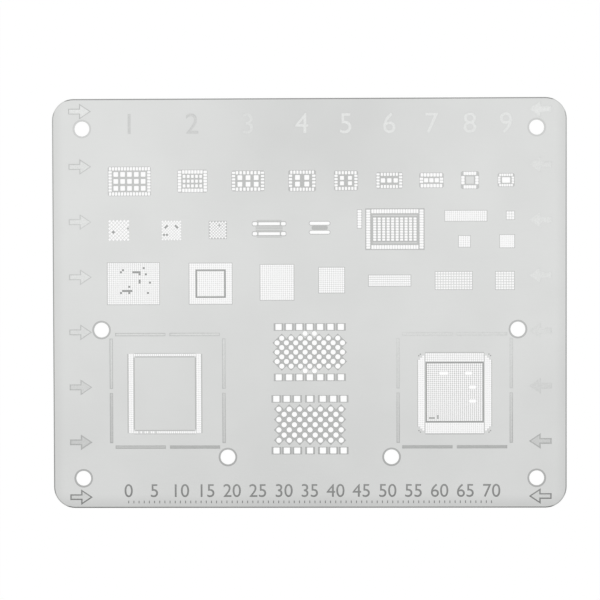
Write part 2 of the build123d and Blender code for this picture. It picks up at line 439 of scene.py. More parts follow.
def solid_tree():
    """Leaves the sheet solid inside a box, where a pattern has no openings."""
    tree, given = geometry_tree(
        "Leave solid",
        (
            ("Geometry", "Geometry", None),
            ("Place", "Vector", None),
            ("Width", "Float", 1.0),
            ("Height", "Float", 1.0),
        ),
    )
    # A loop goes as a whole, where the mean of its points is in the box.
    position = add(tree, "GeometryNodeInputPosition").outputs[0]
    loop = add(tree, "GeometryNodeInputMeshIsland").outputs["Island Index"]
    total = add(
        tree, "GeometryNodeAccumulateField", {0: position, 1: loop}, data_type="FLOAT_VECTOR", domain="POINT"
    ).outputs["Total"]
    count = add(
        tree, "GeometryNodeAccumulateField", {0: 1.0, 1: loop}, data_type="FLOAT", domain="POINT"
    ).outputs["Total"]
    part = add(tree, "ShaderNodeMath", {0: 1.0, 1: count}, operation="DIVIDE")
    centre = add(tree, "ShaderNodeVectorMath", {0: total, "Scale": part.outputs[0]}, operation="SCALE")
    away = add(
        tree, "ShaderNodeVectorMath", {0: centre.outputs[0], 1: given["Place"]}, operation="SUBTRACT"
    )
    size = add(tree, "ShaderNodeVectorMath", {0: away.outputs[0]}, operation="ABSOLUTE")
    split = add(tree, "ShaderNodeSeparateXYZ", {0: size.outputs[0]})
    inside = []
    for axis, extent in (("X", "Width"), ("Y", "Height")):
        half = add(tree, "ShaderNodeMath", {0: given[extent], 1: 0.5}, operation="MULTIPLY").outputs[0]
        within = add(tree, "ShaderNodeMath", {0: split.outputs[axis], 1: half}, operation="LESS_THAN")
        inside.append(within.outputs[0])
    in_box = add(tree, "ShaderNodeMath", {0: inside[0], 1: inside[1]}, operation="MULTIPLY")
    line = add(tree, "GeometryNodeInputNamedAttribute", {"Name": "line"}, data_type="INT")
    openings = []
    for kind in (RIMMED, PLAIN):
        match = add(tree, "ShaderNodeMath", {0: line.outputs[0], 1: float(kind)}, operation="COMPARE")
        match.inputs[2].default_value = MATCH_WITHIN
        openings.append(match.outputs[0])
    opening = add(tree, "ShaderNodeMath", {0: openings[0], 1: openings[1]}, operation="ADD")
    chosen = add(tree, "ShaderNodeMath", {0: in_box.outputs[0], 1: opening.outputs[0]}, operation="MULTIPLY")
    kept = add(
        tree,
        "GeometryNodeDeleteGeometry",
        {"Geometry": given["Geometry"], "Selection": chosen.outputs[0]},
        domain="POINT",
    )
    add(tree, "NodeGroupOutput", {0: kept.outputs[0]})


def marks_tree():
    """Copies of one etched mark, evenly spaced in a row."""
    tree, given = geometry_tree(
        "Mark row",
        (
            ("Geometry", "Geometry", None),
            ("Mark", "Object", None),
            ("Count", "Int", 1),
            ("Start", "Vector", None),
            ("Step", "Vector", None),
            ("Turn", "Float", 0.0),
        ),
    )
    points = add(
        tree,
        "GeometryNodeMeshLine",
        {"Count": given["Count"], "Start Location": given["Start"], "Offset": given["Step"]},
        mode="OFFSET",
    )
    mark = add(tree, "GeometryNodeObjectInfo", {"Object": given["Mark"]})
    turn = add(tree, "ShaderNodeCombineXYZ", {"Z": given["Turn"]})
    copies = add(
        tree,
        "GeometryNodeInstanceOnPoints",
        {"Points": points.outputs[0], "Instance": mark.outputs["Geometry"], "Rotation": turn.outputs[0]},
    )
    plain = add(tree, "GeometryNodeRealizeInstances", {"Geometry": copies.outputs[0]})
    out = add(tree, "GeometryNodeJoinGeometry", {0: [given["Geometry"], plain.outputs[0]]})
    add(tree, "NodeGroupOutput", {0: out.outputs[0]})


def number_tree():
    """One plain number's outlines, centred on its place."""
    tree, given = geometry_tree(
        "Plain number",
        (
            ("Geometry", "Geometry", None),
            ("Number", "Int", 0),
            ("Height", "Float", 1.0),
            ("Place", "Vector", None),
            ("Line", "Int", ETCHED),
        ),
    )
    text = add(tree, "FunctionNodeValueToString", {0: given["Number"]})
    letters = add(
        tree,
        "GeometryNodeStringToCurves",
        {"String": text.outputs[0], "Size": given["Height"]},
        align_x="CENTER",
        align_y="MIDDLE",
    )
    flat = add(tree, "GeometryNodeRealizeInstances", {"Geometry": letters.outputs[0]})
    even = add(
        tree,
        "GeometryNodeResampleCurve",
        {"Curve": flat.outputs[0], "Length": NUMBER_STEP},
        mode="LENGTH",
    )
    line = add(tree, "GeometryNodeCurveToMesh", {"Curve": even.outputs[0]})
    placed = add(
        tree, "GeometryNodeTransform", {"Geometry": line.outputs[0], "Translation": given["Place"]}
    )
    named = add(
        tree,
        "GeometryNodeStoreNamedAttribute",
        {"Geometry": placed.outputs[0], "Name": "line", "Value": given["Line"]},
        data_type="INT",
        domain="POINT",
    )
    out = add(tree, "GeometryNodeJoinGeometry", {0: [given["Geometry"], named.outputs[0]]})
    add(tree, "NodeGroupOutput", {0: out.outputs[0]})


def sheet_tree():
    """The whole sheet from its lines: both faces, the cut walls and the etched floors."""
    tree, given = geometry_tree(
        "Cut sheet",
        (
            ("Lines", "Collection", None),
            ("Thickness", "Float", 0.12),
            ("Etch depth", "Float", 0.06),
            ("Scale", "Float", MM),
            ("Sheet finish", "Material", None),
            ("Rim finish", "Material", None),
            ("Wall finish", "Material", None),
            ("Etched finish", "Material", None),
            ("Pale finish", "Material", None),
        ),
    )
    source = add(
        tree, "GeometryNodeCollectionInfo", {"Collection": given["Lines"]}, transform_space="ORIGINAL"
    )
    lines = add(tree, "GeometryNodeRealizeInstances", {"Geometry": source.outputs[0]})
    kind = add(tree, "GeometryNodeInputNamedAttribute", {"Name": "line"}, data_type="INT").outputs[0]
    group = add(tree, "GeometryNodeInputNamedAttribute", {"Name": "group"}, data_type="INT").outputs[0]
    by_kind = {}
    for value in (RIMMED, RIM, ETCHED, PLAIN, FIELD, RING, PALE, INNER):
        match = add(tree, "ShaderNodeMath", {0: kind, 1: float(value)}, operation="COMPARE")
        match.inputs[2].default_value = MATCH_WITHIN
        by_kind[value] = add(
            tree,
            "GeometryNodeSeparateGeometry",
            {"Geometry": lines.outputs[0], "Selection": match.outputs[0]},
            domain="POINT",
        ).outputs[0]
    top = add(tree, "ShaderNodeCombineXYZ", {"Z": given["Thickness"]}).outputs[0]
    down = add(tree, "ShaderNodeMath", {0: given["Etch depth"], 1: -1.0}, operation="MULTIPLY")
    floor_height = add(tree, "ShaderNodeMath", {0: given["Thickness"], 1: down.outputs[0]}, operation="ADD")
    floor_level = add(tree, "ShaderNodeCombineXYZ", {"Z": floor_height.outputs[0]}).outputs[0]
    etch_up = add(tree, "ShaderNodeCombineXYZ", {"Z": given["Etch depth"]}).outputs[0]
    # Each flat area is filled from the lines that bound it, patterns one group at a time, and is laid
    # at its height on the upper side, with its finish, and flipped on the underside where it has one.
    fills = (
        ((RIM, ETCHED, PALE, FIELD), False, top, SHEET_FACE, False),
        ((RIM, FIELD), False, None, None, True),
        ((RIMMED, RIM), True, top, RIM_FACE, True),
        ((PLAIN, FIELD, RING), True, top, SHEET_FACE, True),
        ((RING,), True, top, WALL_FACE, True),
        ((ETCHED, INNER), False, floor_level, ETCHED_FACE, False),
        ((PALE, INNER), False, floor_level, PALE_FACE, False),
    )
    parts = []
    for kinds, grouped, level, face, under in fills:
        joined = add(tree, "GeometryNodeJoinGeometry", {0: [by_kind[k] for k in kinds]})
        curves = add(tree, "GeometryNodeMeshToCurve", {"Mesh": joined.outputs[0]})
        filled = add(tree, "GeometryNodeFillCurve", {"Curve": curves.outputs[0]}, mode="TRIANGLES")
        if grouped:
            tree.links.new(group, filled.inputs["Group ID"])
        if level:
            raised = add(
                tree, "GeometryNodeTransform", {"Geometry": filled.outputs[0], "Translation": level}
            )
            parts.append((raised.outputs[0], face))
        if under:
            flipped = add(tree, "GeometryNodeFlipFaces", {"Mesh": filled.outputs[0]})
            parts.append((flipped.outputs[0], SHEET_FACE))
    for kinds, level, offset, face in (
        ((RIMMED, PLAIN), None, top, WALL_FACE),
        ((ETCHED, PALE), floor_level, etch_up, ETCHED_FACE),
    ):
        joined = add(tree, "GeometryNodeJoinGeometry", {0: [by_kind[k] for k in kinds]})
        edges = joined.outputs[0]
        if level:
            edges = add(tree, "GeometryNodeTransform", {"Geometry": edges, "Translation": level}).outputs[0]
        walls = add(tree, "GeometryNodeExtrudeMesh", {"Mesh": edges, "Offset": offset}, mode="EDGES")
        walls.inputs["Offset Scale"].default_value = 1.0
        parts.append((walls.outputs[0], face))
    named = [
        add(
            tree,
            "GeometryNodeStoreNamedAttribute",
            {"Geometry": part, "Name": "finish", "Value": face},
            data_type="INT",
            domain="FACE",
        ).outputs[0]
        for part, face in parts
    ]
    whole = add(tree, "GeometryNodeJoinGeometry", {0: named})
    close = {"Geometry": whole.outputs[0], "Distance": MERGE_WITHIN}
    merged = add(tree, "GeometryNodeMergeByDistance", close)
    scale = add(
        tree, "ShaderNodeCombineXYZ", {"X": given["Scale"], "Y": given["Scale"], "Z": given["Scale"]}
    )
    sized = add(
        tree, "GeometryNodeTransform", {"Geometry": merged.outputs[0], "Scale": scale.outputs[0]}
    )
    result = add(tree, "GeometryNodeRealizeInstances", {"Geometry": sized.outputs[0]}).outputs[0]
    finish = add(tree, "GeometryNodeInputNamedAttribute", {"Name": "finish"}, data_type="INT").outputs[0]
    for face, material in (
        (SHEET_FACE, "Sheet finish"),
        (RIM_FACE, "Rim finish"),
        (WALL_FACE, "Wall finish"),
        (ETCHED_FACE, "Etched finish"),
        (PALE_FACE, "Pale finish"),
    ):
        match = add(tree, "ShaderNodeMath", {0: finish, 1: float(face)}, operation="COMPARE")
        match.inputs[2].default_value = MATCH_WITHIN
        result = add(
            tree,
            "GeometryNodeSetMaterial",
            {"Geometry": result, "Selection": match.outputs[0], "Material": given[material]},
        ).outputs[0]
    add(tree, "NodeGroupOutput", {0: result})


def make_trees():
    """All the trees, once."""
    outline_tree()
    grid_tree()
    solid_tree()
    marks_tree()
    number_tree()
    sheet_tree()


def lines_collection():
    """The collection that holds the sheet's lines until the sheet is cut."""
    found = bpy.data.collections.get(LINES_GROUP)
    if found is None:
        found = bpy.data.collections.new(LINES_GROUP)
        bpy.context.scene.collection.children.link(found)
        make_trees()
    return found


def new_lines(name):
    """An empty object that gathers the lines of one pattern, in millimetres."""
    obj = bpy.data.objects.new(name, bpy.data.meshes.new(name))
    lines_collection().objects.link(obj)
    obj["group"] = next(PATTERN_GROUPS)
    return obj


def lay_grid(
    obj,
    place,
    size,
    columns=1,
    rows=1,
    pitch=(1.0, 1.0),
    line=PLAIN,
    rim=0.0,
    turn=0.0,
    narrow=0,
    corner=0.0,
    corner_points=1,
    sides=0,
):
    """Adds a grid of openings to a pattern. Sizes are in millimetres, and turn is in degrees."""
    use_tree(
        obj,
        "Opening grid",
        {
            "Place": (place[0], place[1], 0.0),
            "Turn": math.radians(turn),
            "Columns": columns,
            "Rows": rows,
            "Column pitch": float(pitch[0]),
            "Row pitch": float(pitch[1]),
            "Narrow rows": narrow,
            "Width": float(size[0]),
            "Height": float(size[1]),
            "Corner radius": float(corner),
            "Corner points": corner_points,
            "Sides": sides,
            "Rim": float(rim),
            "Line": line,
            "Group": obj["group"],
        },
    )


def leave_solid(obj, place, size):
    """Takes the openings out of a box, where the pattern has none."""
    use_tree(
        obj,
        "Leave solid",
        {"Place": (place[0], place[1], 0.0), "Width": float(size[0]), "Height": float(size[1])},
    )


def ball_field(obj, place, counts, pitch, opening, halo):
    """A field of openings inside one line, with a narrow tinted line of painted shade round it."""
    obj["group"] = next(PATTERN_GROUPS)
    corner = min(opening) * BALL_CORNER
    lay_grid(obj, place, opening, counts[0], counts[1], pitch, PLAIN, corner=corner)
    extent = [
        (count - 1) * step + side + 2 * FIELD_MARGIN
        for count, step, side in zip(counts, pitch, opening)
    ]
    lay_grid(obj, place, extent, line=FIELD)
    if halo:
        lay_grid(obj, place, [side + HALO_GAP for side in extent], line=RIM, rim=halo)


# The layout, in millimetres from the sheet's middle. Each pattern's group number lets its areas be
# filled apart from the others.
PATTERN_GROUPS = itertools.count(1)

# Turns in degrees, and what stands for the step across a pattern's only row or column
QUARTER_TURN = 90
EIGHTH_TURN = 45
NO_STEP = 1.0

# Widths of the tinted steel beside the cuts, and of the narrow plain gaps between two lines
HOLE_RIM = 0.36
PACKAGE_RIM = 0.10
DOT_RIM = 0.06
# The field halo is painted shade round each ball field.
FIELD_HALO = 0.09
FIELD_MARGIN = 0.04
HALO_GAP = 0.02
PATCH_GAP = 0.02
TILE_GAP = 0.03

# Corners: the share of a ball opening's side that its corner takes, radii, and the points that round them
BALL_CORNER = 0.15
PAD_CORNER = 0.06
SLOT_CORNER = 0.10
BAR_CORNER = 0.30
FEW_POINTS = 3
MORE_POINTS = 4
BAR_POINTS = 8

# Locating holes: half spans of the four at the corners, and of each pair with its place up the sheet
CORNER_HOLES = (43.70, 33.70)
SIDE_HOLES = (40.10, -5.04)
BOTTOM_HOLES = (15.78, -29.62)
HOLE_SIDES = 64
SHEET_CORNER_POINTS = 12

# Leadless packages in the top row. Each one has its place along the row, the count, half span and
# offset of its two rows of pads and of its two columns, the shares of the pitch and of the full length
# that a pad takes, and the counts, pitches and size of the openings in its middle.
PACKAGE_ROW = 23.60
PACKAGES = (
    (-34.57, (14, 3.74, 2.42), (7, 1.75, 3.74), (0.80, 1.02), (5, 3, 1.32, 1.34, 0.92, 0.92)),
    (-22.44, (7, 1.74, 1.77), (7, 1.77, 2.48), (0.84, 1.06), (5, 3, 0.80, 0.91, 0.54, 0.61)),
    (-11.72, (7, 2.11, 1.58), (6, 1.57, 2.79), (0.68, 1.01), (3, 2, 1.57, 1.27, 0.92, 0.92)),
    (-1.31, (8, 2.08, 1.64), (4, 0.96, 2.24), (0.70, 1.00), (2, 2, 1.79, 1.27, 0.94, 0.94)),
    (7.12, (7, 1.83, 1.51), (4, 0.91, 1.91), (0.70, 0.97), (2, 2, 1.54, 1.04, 0.77, 0.77)),
    (15.45, (6, 1.44, 1.17), (5, 1.17, 2.18), (0.72, 0.96), (3, 1, 1.22, 1.00, 0.84, 0.84)),
    (23.53, (7, 1.82, 1.04), (2, 0.27, 1.92), (0.84, 1.06), (3, 1, 1.02, 1.00, 0.82, 0.82)),
    (30.91, (5, 0.99, 1.29), (3, 0.54, 1.34), (0.95, 1.00), None),
    (37.84, (6, 1.12, 0.99), (3, 0.46, 1.30), (0.88, 0.74), (1, 1, 1.00, 1.00, 1.58, 1.08)),
)
PACKAGE_CUT = 0.25
MIDDLE_CORNER = 0.12
PLAIN_MIDDLE = (1.48, 1.40)

# Small ball fields turned by an eighth: place, balls in a wide row, lattice step, diagonal of an
# opening, the balls that are missing, in half steps from the middle, and whether the steel between
# the openings is tinted
TURNED_FIELDS = (
    ((-36.66, 14.17), 6, 0.706, 0.598, ((-3, -1), (5, 1)), False),
    ((-26.53, 14.13), 7, 0.566, 0.482, ((-4, 2), (-3, 3), (3, 3), (4, 2), (-5, -3), (-3, -3)), False),
    ((-17.57, 14.19), 6, 0.587, 0.484, ((1, 3),), True),
)
TURNED_SIDES = 4
MISSING_BOX_SHARE = 0.33
PATCH_SHARE = 0.66
EDGE_PATCH_SHARE = 0.35

# Two pairs of bars. The first pair is parted into a long slot and two short ends, with painted shade
# drawn as tinted lines between the bars and on both sides of them.
SLOTTED_BARS = (-7.69, 14.40)
SLOTTED_BARS_STEP = 1.92
LONG_SLOT = (4.12, 0.56)
END_SLOT = (0.92, 0.66)
END_SLOT_CORNER = 0.25
END_SLOTS_STEP = 5.48
SLOTTED_BAR_TINT = (6.66, 0.98)
SLOTTED_TINT_CORNER = 0.35
BETWEEN_BARS_SHADE = (5.20, 0.16)
BETWEEN_BARS_SHADE_STEP = 0.30
BESIDE_BARS_SHADE = (4.80, 0.12)
BESIDE_BARS_SHADE_STEP = 3.24
PLAIN_BARS = (2.04, 14.55)
PLAIN_BARS_STEP = 1.73
PLAIN_BAR = (3.90, 0.62)
PLAIN_BAR_RIM = 0.13
PLAIN_BARS_TINT = (3.10, 0.80)

# Memory pattern: pads along two rows and two columns, a strip beside them, its middle, the tinted steel,
# and a plain line over and under the middle
MEMORY = (16.50, 14.24)
MEMORY_PAD = (0.445, 0.77)
MEMORY_PAD_STEP = 0.505
MEMORY_ROW_PADS = 18
MEMORY_ROWS_STEP = 6.88
MEMORY_COLUMN_PADS = 15
MEMORY_COLUMNS_STEP = 10.24
MEMORY_STRIP = (9.70, 16.21)
MEMORY_STRIP_PADS = 7
MEMORY_STRIP_STEP = 0.50
MEMORY_MIDDLE_COUNTS = (10, 9)
MEMORY_MIDDLE_PITCH = (0.86, 0.506)
MEMORY_MIDDLE_OPENING = (0.60, 0.415)
MEMORY_TINT = (11.42, 8.02)
MEMORY_PLAIN_LINE = (8.60, 0.16)
MEMORY_PLAIN_STEP = 5.28
MEMORY_STRIP_TINT = (0.98, 3.66)

# Ball fields: place, counts, pitches and opening
BALL_FIELDS = (
    ((30.13, 16.76), (20, 5), (0.400, 0.390), (0.362, 0.362)),
    ((38.68, 16.82), (3, 3), (0.510, 0.530), (0.445, 0.445)),
    ((29.86, 11.85), (5, 5), (0.440, 0.420), (0.394, 0.394)),
    ((38.04, 11.86), (7, 6), (0.390, 0.395), (0.383, 0.383)),
    ((-6.20, 4.08), (16, 17), (0.402, 0.400), (0.348, 0.348)),
    ((4.32, 4.47), (12, 12), (0.410, 0.406), (0.340, 0.340)),
    ((15.48, 4.35), (20, 5), (0.402, 0.425), (0.372, 0.300)),
    ((27.80, 4.33), (14, 7), (0.510, 0.500), (0.395, 0.312)),
    ((37.62, 4.31), (7, 7), (0.515, 0.500), (0.425, 0.330)),
)

# The largest ball field, and the boxes in it that have no openings: middle and size in the field's steps
LARGE_FIELD = ((-33.90, 3.89), (25, 20), (0.400, 0.400), (0.336, 0.336))
LARGE_FIELD_GAPS = (
    ((-6, 5.5), (1, 1)),
    ((-5, 6.5), (1, 1)),
    ((1.5, 5.5), (4, 1)),
    ((3, 4.5), (1, 1)),
    ((5, 7.5), (1, 1)),
    ((6, 4.5), (1, 1)),
    ((3, 1), (1, 2)),
    ((8, 0.5), (1, 1)),
    ((-2, -1.5), (1, 1)),
    ((-3, -3.5), (5, 1)),
    ((-6, -4.5), (1, 1)),
    ((-2, -4.5), (1, 1)),
    ((7, -4.5), (1, 1)),
)

# Ball field parted by a solid ring
RINGED_FIELD = (-19.00, 3.86)
RINGED_COUNTS = (21, 20)
RINGED_INNER_COUNTS = (13, 12)
RINGED_PITCH = 0.39
RINGED_OUTER_SHARE = 1.03
RING_OUTER = (5.83, 5.46)
RING_INNER = (5.28, 4.96)

# Round openings: place, most of them in a row, step, which rows hold one less (1 is the even and 2 the
# odd ones) and the share of the diameter. Four more stand beyond the upper array.
DOT_ARRAYS = (
    ((0.07, -9.39), 8, 1.80, 1, 1.00),
    ((0.08, -23.39), 7, 2.00, 2, 1.03),
)
DOT_ROWS = 7
DOT_SIDES = 24
TILE_SIDES = 4
OUTER_DOTS_STEP = (1.80, 7.20)

# Rows of squares over and under the arrays: middle of each pair of rows, squares in a row and the
# distance between the two rows; then the step, and how much wider and taller the tinted steel is, which
# is painted shade between and round the squares
SQUARE_ROWS = (
    ((0.07, -9.39), 7, 9.71),
    ((0.08, -23.39), 1, 9.99),
    ((-4.40, -23.39), 3, 9.99),
    ((4.56, -23.39), 3, 9.99),
)
SQUARE_STEP = 2.0
SQUARE_SHADE = (0.70, 0.26)

# Left processor: counts, pitches and opening of its two rails and of its two thin rows, their offsets
# from the middle, and the breaks in the near row, each with its middle and width
LEFT_PROCESSOR = (-27.915, -17.32)
RAIL = ((2, 38), (0.440, 0.402), (0.428, 0.384))
RAIL_OFFSET = 6.55
THIN_ROW = ((30, 1), (0.402, 1.000), (0.320, 0.430))
THIN_ROW_OFFSETS = (7.44, -7.50)
THIN_ROW_BREAKS = ((-32.96, 0.50), (-31.98, 0.35), (-30.82, 0.50), (-29.90, 0.45))
BREAK_HEIGHT = 0.60

# Painted shade beside the rails and the rows, drawn as tinted lines: distance outwards from the rail's or
# row's middle, and size
RAIL_SHADES = ((-0.62, (0.23, 13.90)), (0.59, (0.18, 15.30)))
ROW_SHADES = ((-0.37, (11.50, 0.18)), (0.32, (11.90, 0.10)))

# Right processor: its middle, with two boxes that have no openings, and four larger openings in place of
# some small ones, each with its middle and extent in the small ones' steps
RIGHT_PROCESSOR = (27.94, -17.16)
CORE_COUNTS = (28, 29)
CORE_PITCH = (0.382, 0.383)
CORE_OPENING = 0.336
CORE_SOLIDS = (((23.51, -22.14), (1.2, 0.4)), ((24.74, -21.99), (0.4, 0.8)))
CORE_LARGE_OPENINGS = (
    ((-5.5, 9.5), (5, 2)),
    ((7.0, 9.5), (4, 2)),
    ((9.0, 2.5), (4, 2)),
    ((9.0, -4.5), (4, 2)),
)
LARGE_OPENING_CORNER = 0.15
CORE_TINT = (10.71, 11.12)

# A dark line round that middle: its inner and outer size
CORE_LINE_INNER = (10.73, 11.14)
CORE_LINE_OUTER = (11.24, 11.62)

# Bands round that line: place along the short side, counts and opening of the two that lie, and offset,
# drop, counts and opening of the two that stand, and the share of a step that a cut corner's box spans
BAND_STEP = 0.402
# The band halo is painted shade round the lying bands.
BAND_HALO = 0.06
LYING_BANDS = ((6.72, (28, 4), 0.346), (-6.92, (28, 5), 0.376))
STANDING_BANDS_OFFSET = 6.43
STANDING_BANDS_DROP = 0.185
STANDING_BAND_COUNTS = (3, 38)
STANDING_BAND_OPENING = 0.390
CUT_BOX_SHARE = 0.7

# Dark specks outside the bands' cut corners, and tinted lines outside the bands: offset and size
SPECK = 0.26
SPECK_SIDES = 8
SPECKS = ((0.46, -0.22), (0.16, 0.07))
STANDING_LINE_OFFSET = 0.70
STANDING_LINE = (0.09, 12.90)
LYING_LINES_OFFSET = 7.89
LYING_LINES_DROP = 0.20
LYING_LINE = (11.30, 0.10)

# Frames of etched grooves round both processors, and the width of a groove's dark edge, painted shade
# along its walls
FRAME_PLACES = ((-27.375, -16.80), (27.93, -16.81))
FRAME_SPAN = 21.75
GROOVE = (9.70, 0.62)
GROOVE_STEP = 10.50
GROOVE_EDGE = 0.14

# Arrows down both short sides: half widths of shaft and head, ends, widths of the thin and of the bold
# outline, how many of the right ones are faint, and from which one on they are bold. They are one
# etched arrow in painted light and shade: the dark outline is painted shade on its walls, bolder on
# the lower arrows, and the faint arrows are painted light.
ARROW_COUNT = 8
FAINT_ARROWS = 6
BOLD_ARROWS = 6
ARROW_STEP = 10.63
ARROW_SHAFT = 0.55
ARROW_HEAD = 1.50
ARROW_BACK = -2.10
ARROW_TIP = 2.26
THIN_STROKE = 0.17
BOLD_STROKE = 0.25
LEFT_ARROWS = (-44.20, 37.05)
RIGHT_ARROWS = (44.45, 37.20)

# Plain scale near the bottom edge, and one plain number over each package
SCALE_ROW = -36.25
SCALE_START = -35.0
SCALE_STEP = 5
SCALE_NUMBERS = 15
SCALE_HEIGHT = 3.6
SCALE_TICKS_ROW = -38.30
SCALE_TICK = (0.16, 0.50)
TICK_STEP = 1.0
NUMBER_ROW = 34.40
NUMBER_HEIGHT = 5.6


class STENCIL_OT_outline(bpy.types.Operator):
    """Lays the sheet's own outline and its round locating holes."""

    bl_idname = "stencil.outline"
    bl_label = "Outline and holes"

    def execute(self, context):
        sizes = context.scene.stencil_sheet
        obj = new_lines("outline_lines")
        length, width, rim = sizes.length / MM, sizes.width / MM, sizes.edge_rim / MM
        radius = sizes.corner_radius / MM
        for inward, line in ((0.0, RIMMED), (rim, RIM)):
            size = (length - 2 * inward, width - 2 * inward)
            lay_grid(obj, (0, 0), size, line=line, corner=radius - inward, corner_points=SHEET_CORNER_POINTS)
        hole = (sizes.hole_diameter / MM, sizes.hole_diameter / MM)
        for place, columns, rows, pitch in (
            ((0, 0), 2, 2, (2 * CORNER_HOLES[0], 2 * CORNER_HOLES[1])),
            ((0, SIDE_HOLES[1]), 2, 1, (2 * SIDE_HOLES[0], NO_STEP)),
            ((0, BOTTOM_HOLES[1]), 2, 1, (2 * BOTTOM_HOLES[0], NO_STEP)),
        ):
            lay_grid(obj, place, hole, columns, rows, pitch, RIMMED, HOLE_RIM, sides=HOLE_SIDES)
        return {"FINISHED"}


class STENCIL_OT_packages(bpy.types.Operator):
    """Lays the pads and middle openings of the nine leadless packages."""

    bl_idname = "stencil.packages"
    bl_label = "Leadless packages"

    def execute(self, context):
        sizes = context.scene.stencil_openings
        obj = new_lines("package_lines")
        middle_corner = {"corner": MIDDLE_CORNER, "corner_points": FEW_POINTS}
        for x, across, along, (pitch_share, length_share), middle in PACKAGES:
            place = (x, PACKAGE_ROW)
            long = length_share * sizes.pad_length / MM
            for (count, half_span, offset), turn in ((across, 0), (along, QUARTER_TURN)):
                pitch = 2 * half_span / (count - 1)
                pad = (min(sizes.pad_width / MM, pitch_share * pitch), long)
                lay_grid(obj, place, pad, count, 2, (pitch, 2 * offset), RIMMED, turn=turn, corner=PAD_CORNER)
            extent = [2 * (side[2] + PACKAGE_RIM) + long for side in (along, across)]
            lay_grid(obj, place, extent, line=RIM, corner=PACKAGE_CUT)
            if middle:
                counts, pitches, opening = middle[:2], middle[2:4], middle[4:]
                lay_grid(obj, place, opening, *counts, pitches, RIMMED, **middle_corner)
            else:
                lay_grid(obj, place, PLAIN_MIDDLE, line=RIM, **middle_corner)
        return {"FINISHED"}


class STENCIL_OT_small_patterns(bpy.types.Operator):
    """Lays the turned ball fields and the bars of the second row."""

    bl_idname = "stencil.small_patterns"
    bl_label = "Turned fields and bars"

    def execute(self, context):
        obj = new_lines("turned_lines")
        for place, count, step, diagonal, missing, is_tinted in TURNED_FIELDS:
            obj["group"] = next(PATTERN_GROUPS)
            rows, pitch, ball = 2 * count - 1, (step, step / 2), (diagonal, diagonal)
            line, edge = (RIMMED, RIM) if is_tinted else (PLAIN, FIELD)
            lay_grid(obj, place, ball, count, rows, pitch, line, narrow=2, sides=TURNED_SIDES)
            for right, up in missing:
                spot = (place[0] + right * step / 2, place[1] + up * step / 2)
                leave_solid(obj, spot, (MISSING_BOX_SHARE * step, MISSING_BOX_SHARE * step))
                patch = step * (EDGE_PATCH_SHARE if abs(right) == count - 1 else PATCH_SHARE)
                if not is_tinted:
                    lay_grid(obj, spot, (patch, patch), line=RING, turn=EIGHTH_TURN)
            side = (count - 1) * step + diagonal + 2 * FIELD_MARGIN
            lay_grid(obj, place, (side, side), line=edge)
        bars = new_lines("bar_lines")
        pitch, ends_pitch = (NO_STEP, SLOTTED_BARS_STEP), (END_SLOTS_STEP, SLOTTED_BARS_STEP)
        slot_corner = {"corner": SLOT_CORNER, "corner_points": FEW_POINTS}
        tint_corner = {"corner": SLOTTED_TINT_CORNER, "corner_points": MORE_POINTS}
        end_corner = {"corner": END_SLOT_CORNER, "corner_points": MORE_POINTS}
        lay_grid(bars, SLOTTED_BARS, LONG_SLOT, 1, 2, pitch, RIMMED, **slot_corner)
        lay_grid(bars, SLOTTED_BARS, END_SLOT, 2, 2, ends_pitch, RIMMED, **end_corner)
        lay_grid(bars, SLOTTED_BARS, SLOTTED_BAR_TINT, 1, 2, pitch, RIM, **tint_corner)
        # Painted shade: tinted lines between the bars and beside them
        lay_grid(bars, SLOTTED_BARS, BETWEEN_BARS_SHADE, 1, 3, (NO_STEP, BETWEEN_BARS_SHADE_STEP), RIM)
        lay_grid(bars, SLOTTED_BARS, BESIDE_BARS_SHADE, 1, 2, (NO_STEP, BESIDE_BARS_SHADE_STEP), RIM)
        pitch = (NO_STEP, PLAIN_BARS_STEP)
        bar_corner = {"corner": BAR_CORNER, "corner_points": BAR_POINTS}
        lay_grid(bars, PLAIN_BARS, PLAIN_BAR, 1, 2, pitch, RIMMED, PLAIN_BAR_RIM, **bar_corner)
        lay_grid(bars, PLAIN_BARS, PLAIN_BARS_TINT, line=RIM, corner=BAR_CORNER, corner_points=MORE_POINTS)
        return {"FINISHED"}


class STENCIL_OT_memory(bpy.types.Operator):
    """Lays the memory pattern: pads on four sides, a strip beside them and openings in the middle."""

    bl_idname = "stencil.memory"
    bl_label = "Memory pattern"

    def execute(self, context):
        obj = new_lines("memory_lines")
        step = MEMORY_PAD_STEP
        for place, count, rows, pitch, turn in (
            (MEMORY, MEMORY_ROW_PADS, 2, (step, MEMORY_ROWS_STEP), 0),
            (MEMORY, MEMORY_COLUMN_PADS, 2, (step, MEMORY_COLUMNS_STEP), QUARTER_TURN),
            (MEMORY_STRIP, MEMORY_STRIP_PADS, 1, (MEMORY_STRIP_STEP, NO_STEP), QUARTER_TURN),
        ):
            lay_grid(obj, place, MEMORY_PAD, count, rows, pitch, RIMMED, turn=turn, corner=PAD_CORNER)
        counts, opening = MEMORY_MIDDLE_COUNTS, MEMORY_MIDDLE_OPENING
        lay_grid(obj, MEMORY, opening, *counts, MEMORY_MIDDLE_PITCH, RIMMED, corner=PAD_CORNER)
        lay_grid(obj, MEMORY, MEMORY_TINT, line=RIM)
        lay_grid(obj, MEMORY, MEMORY_PLAIN_LINE, 1, 2, (NO_STEP, MEMORY_PLAIN_STEP), RIM)
        lay_grid(obj, MEMORY_STRIP, MEMORY_STRIP_TINT, line=RIM)
        return {"FINISHED"}


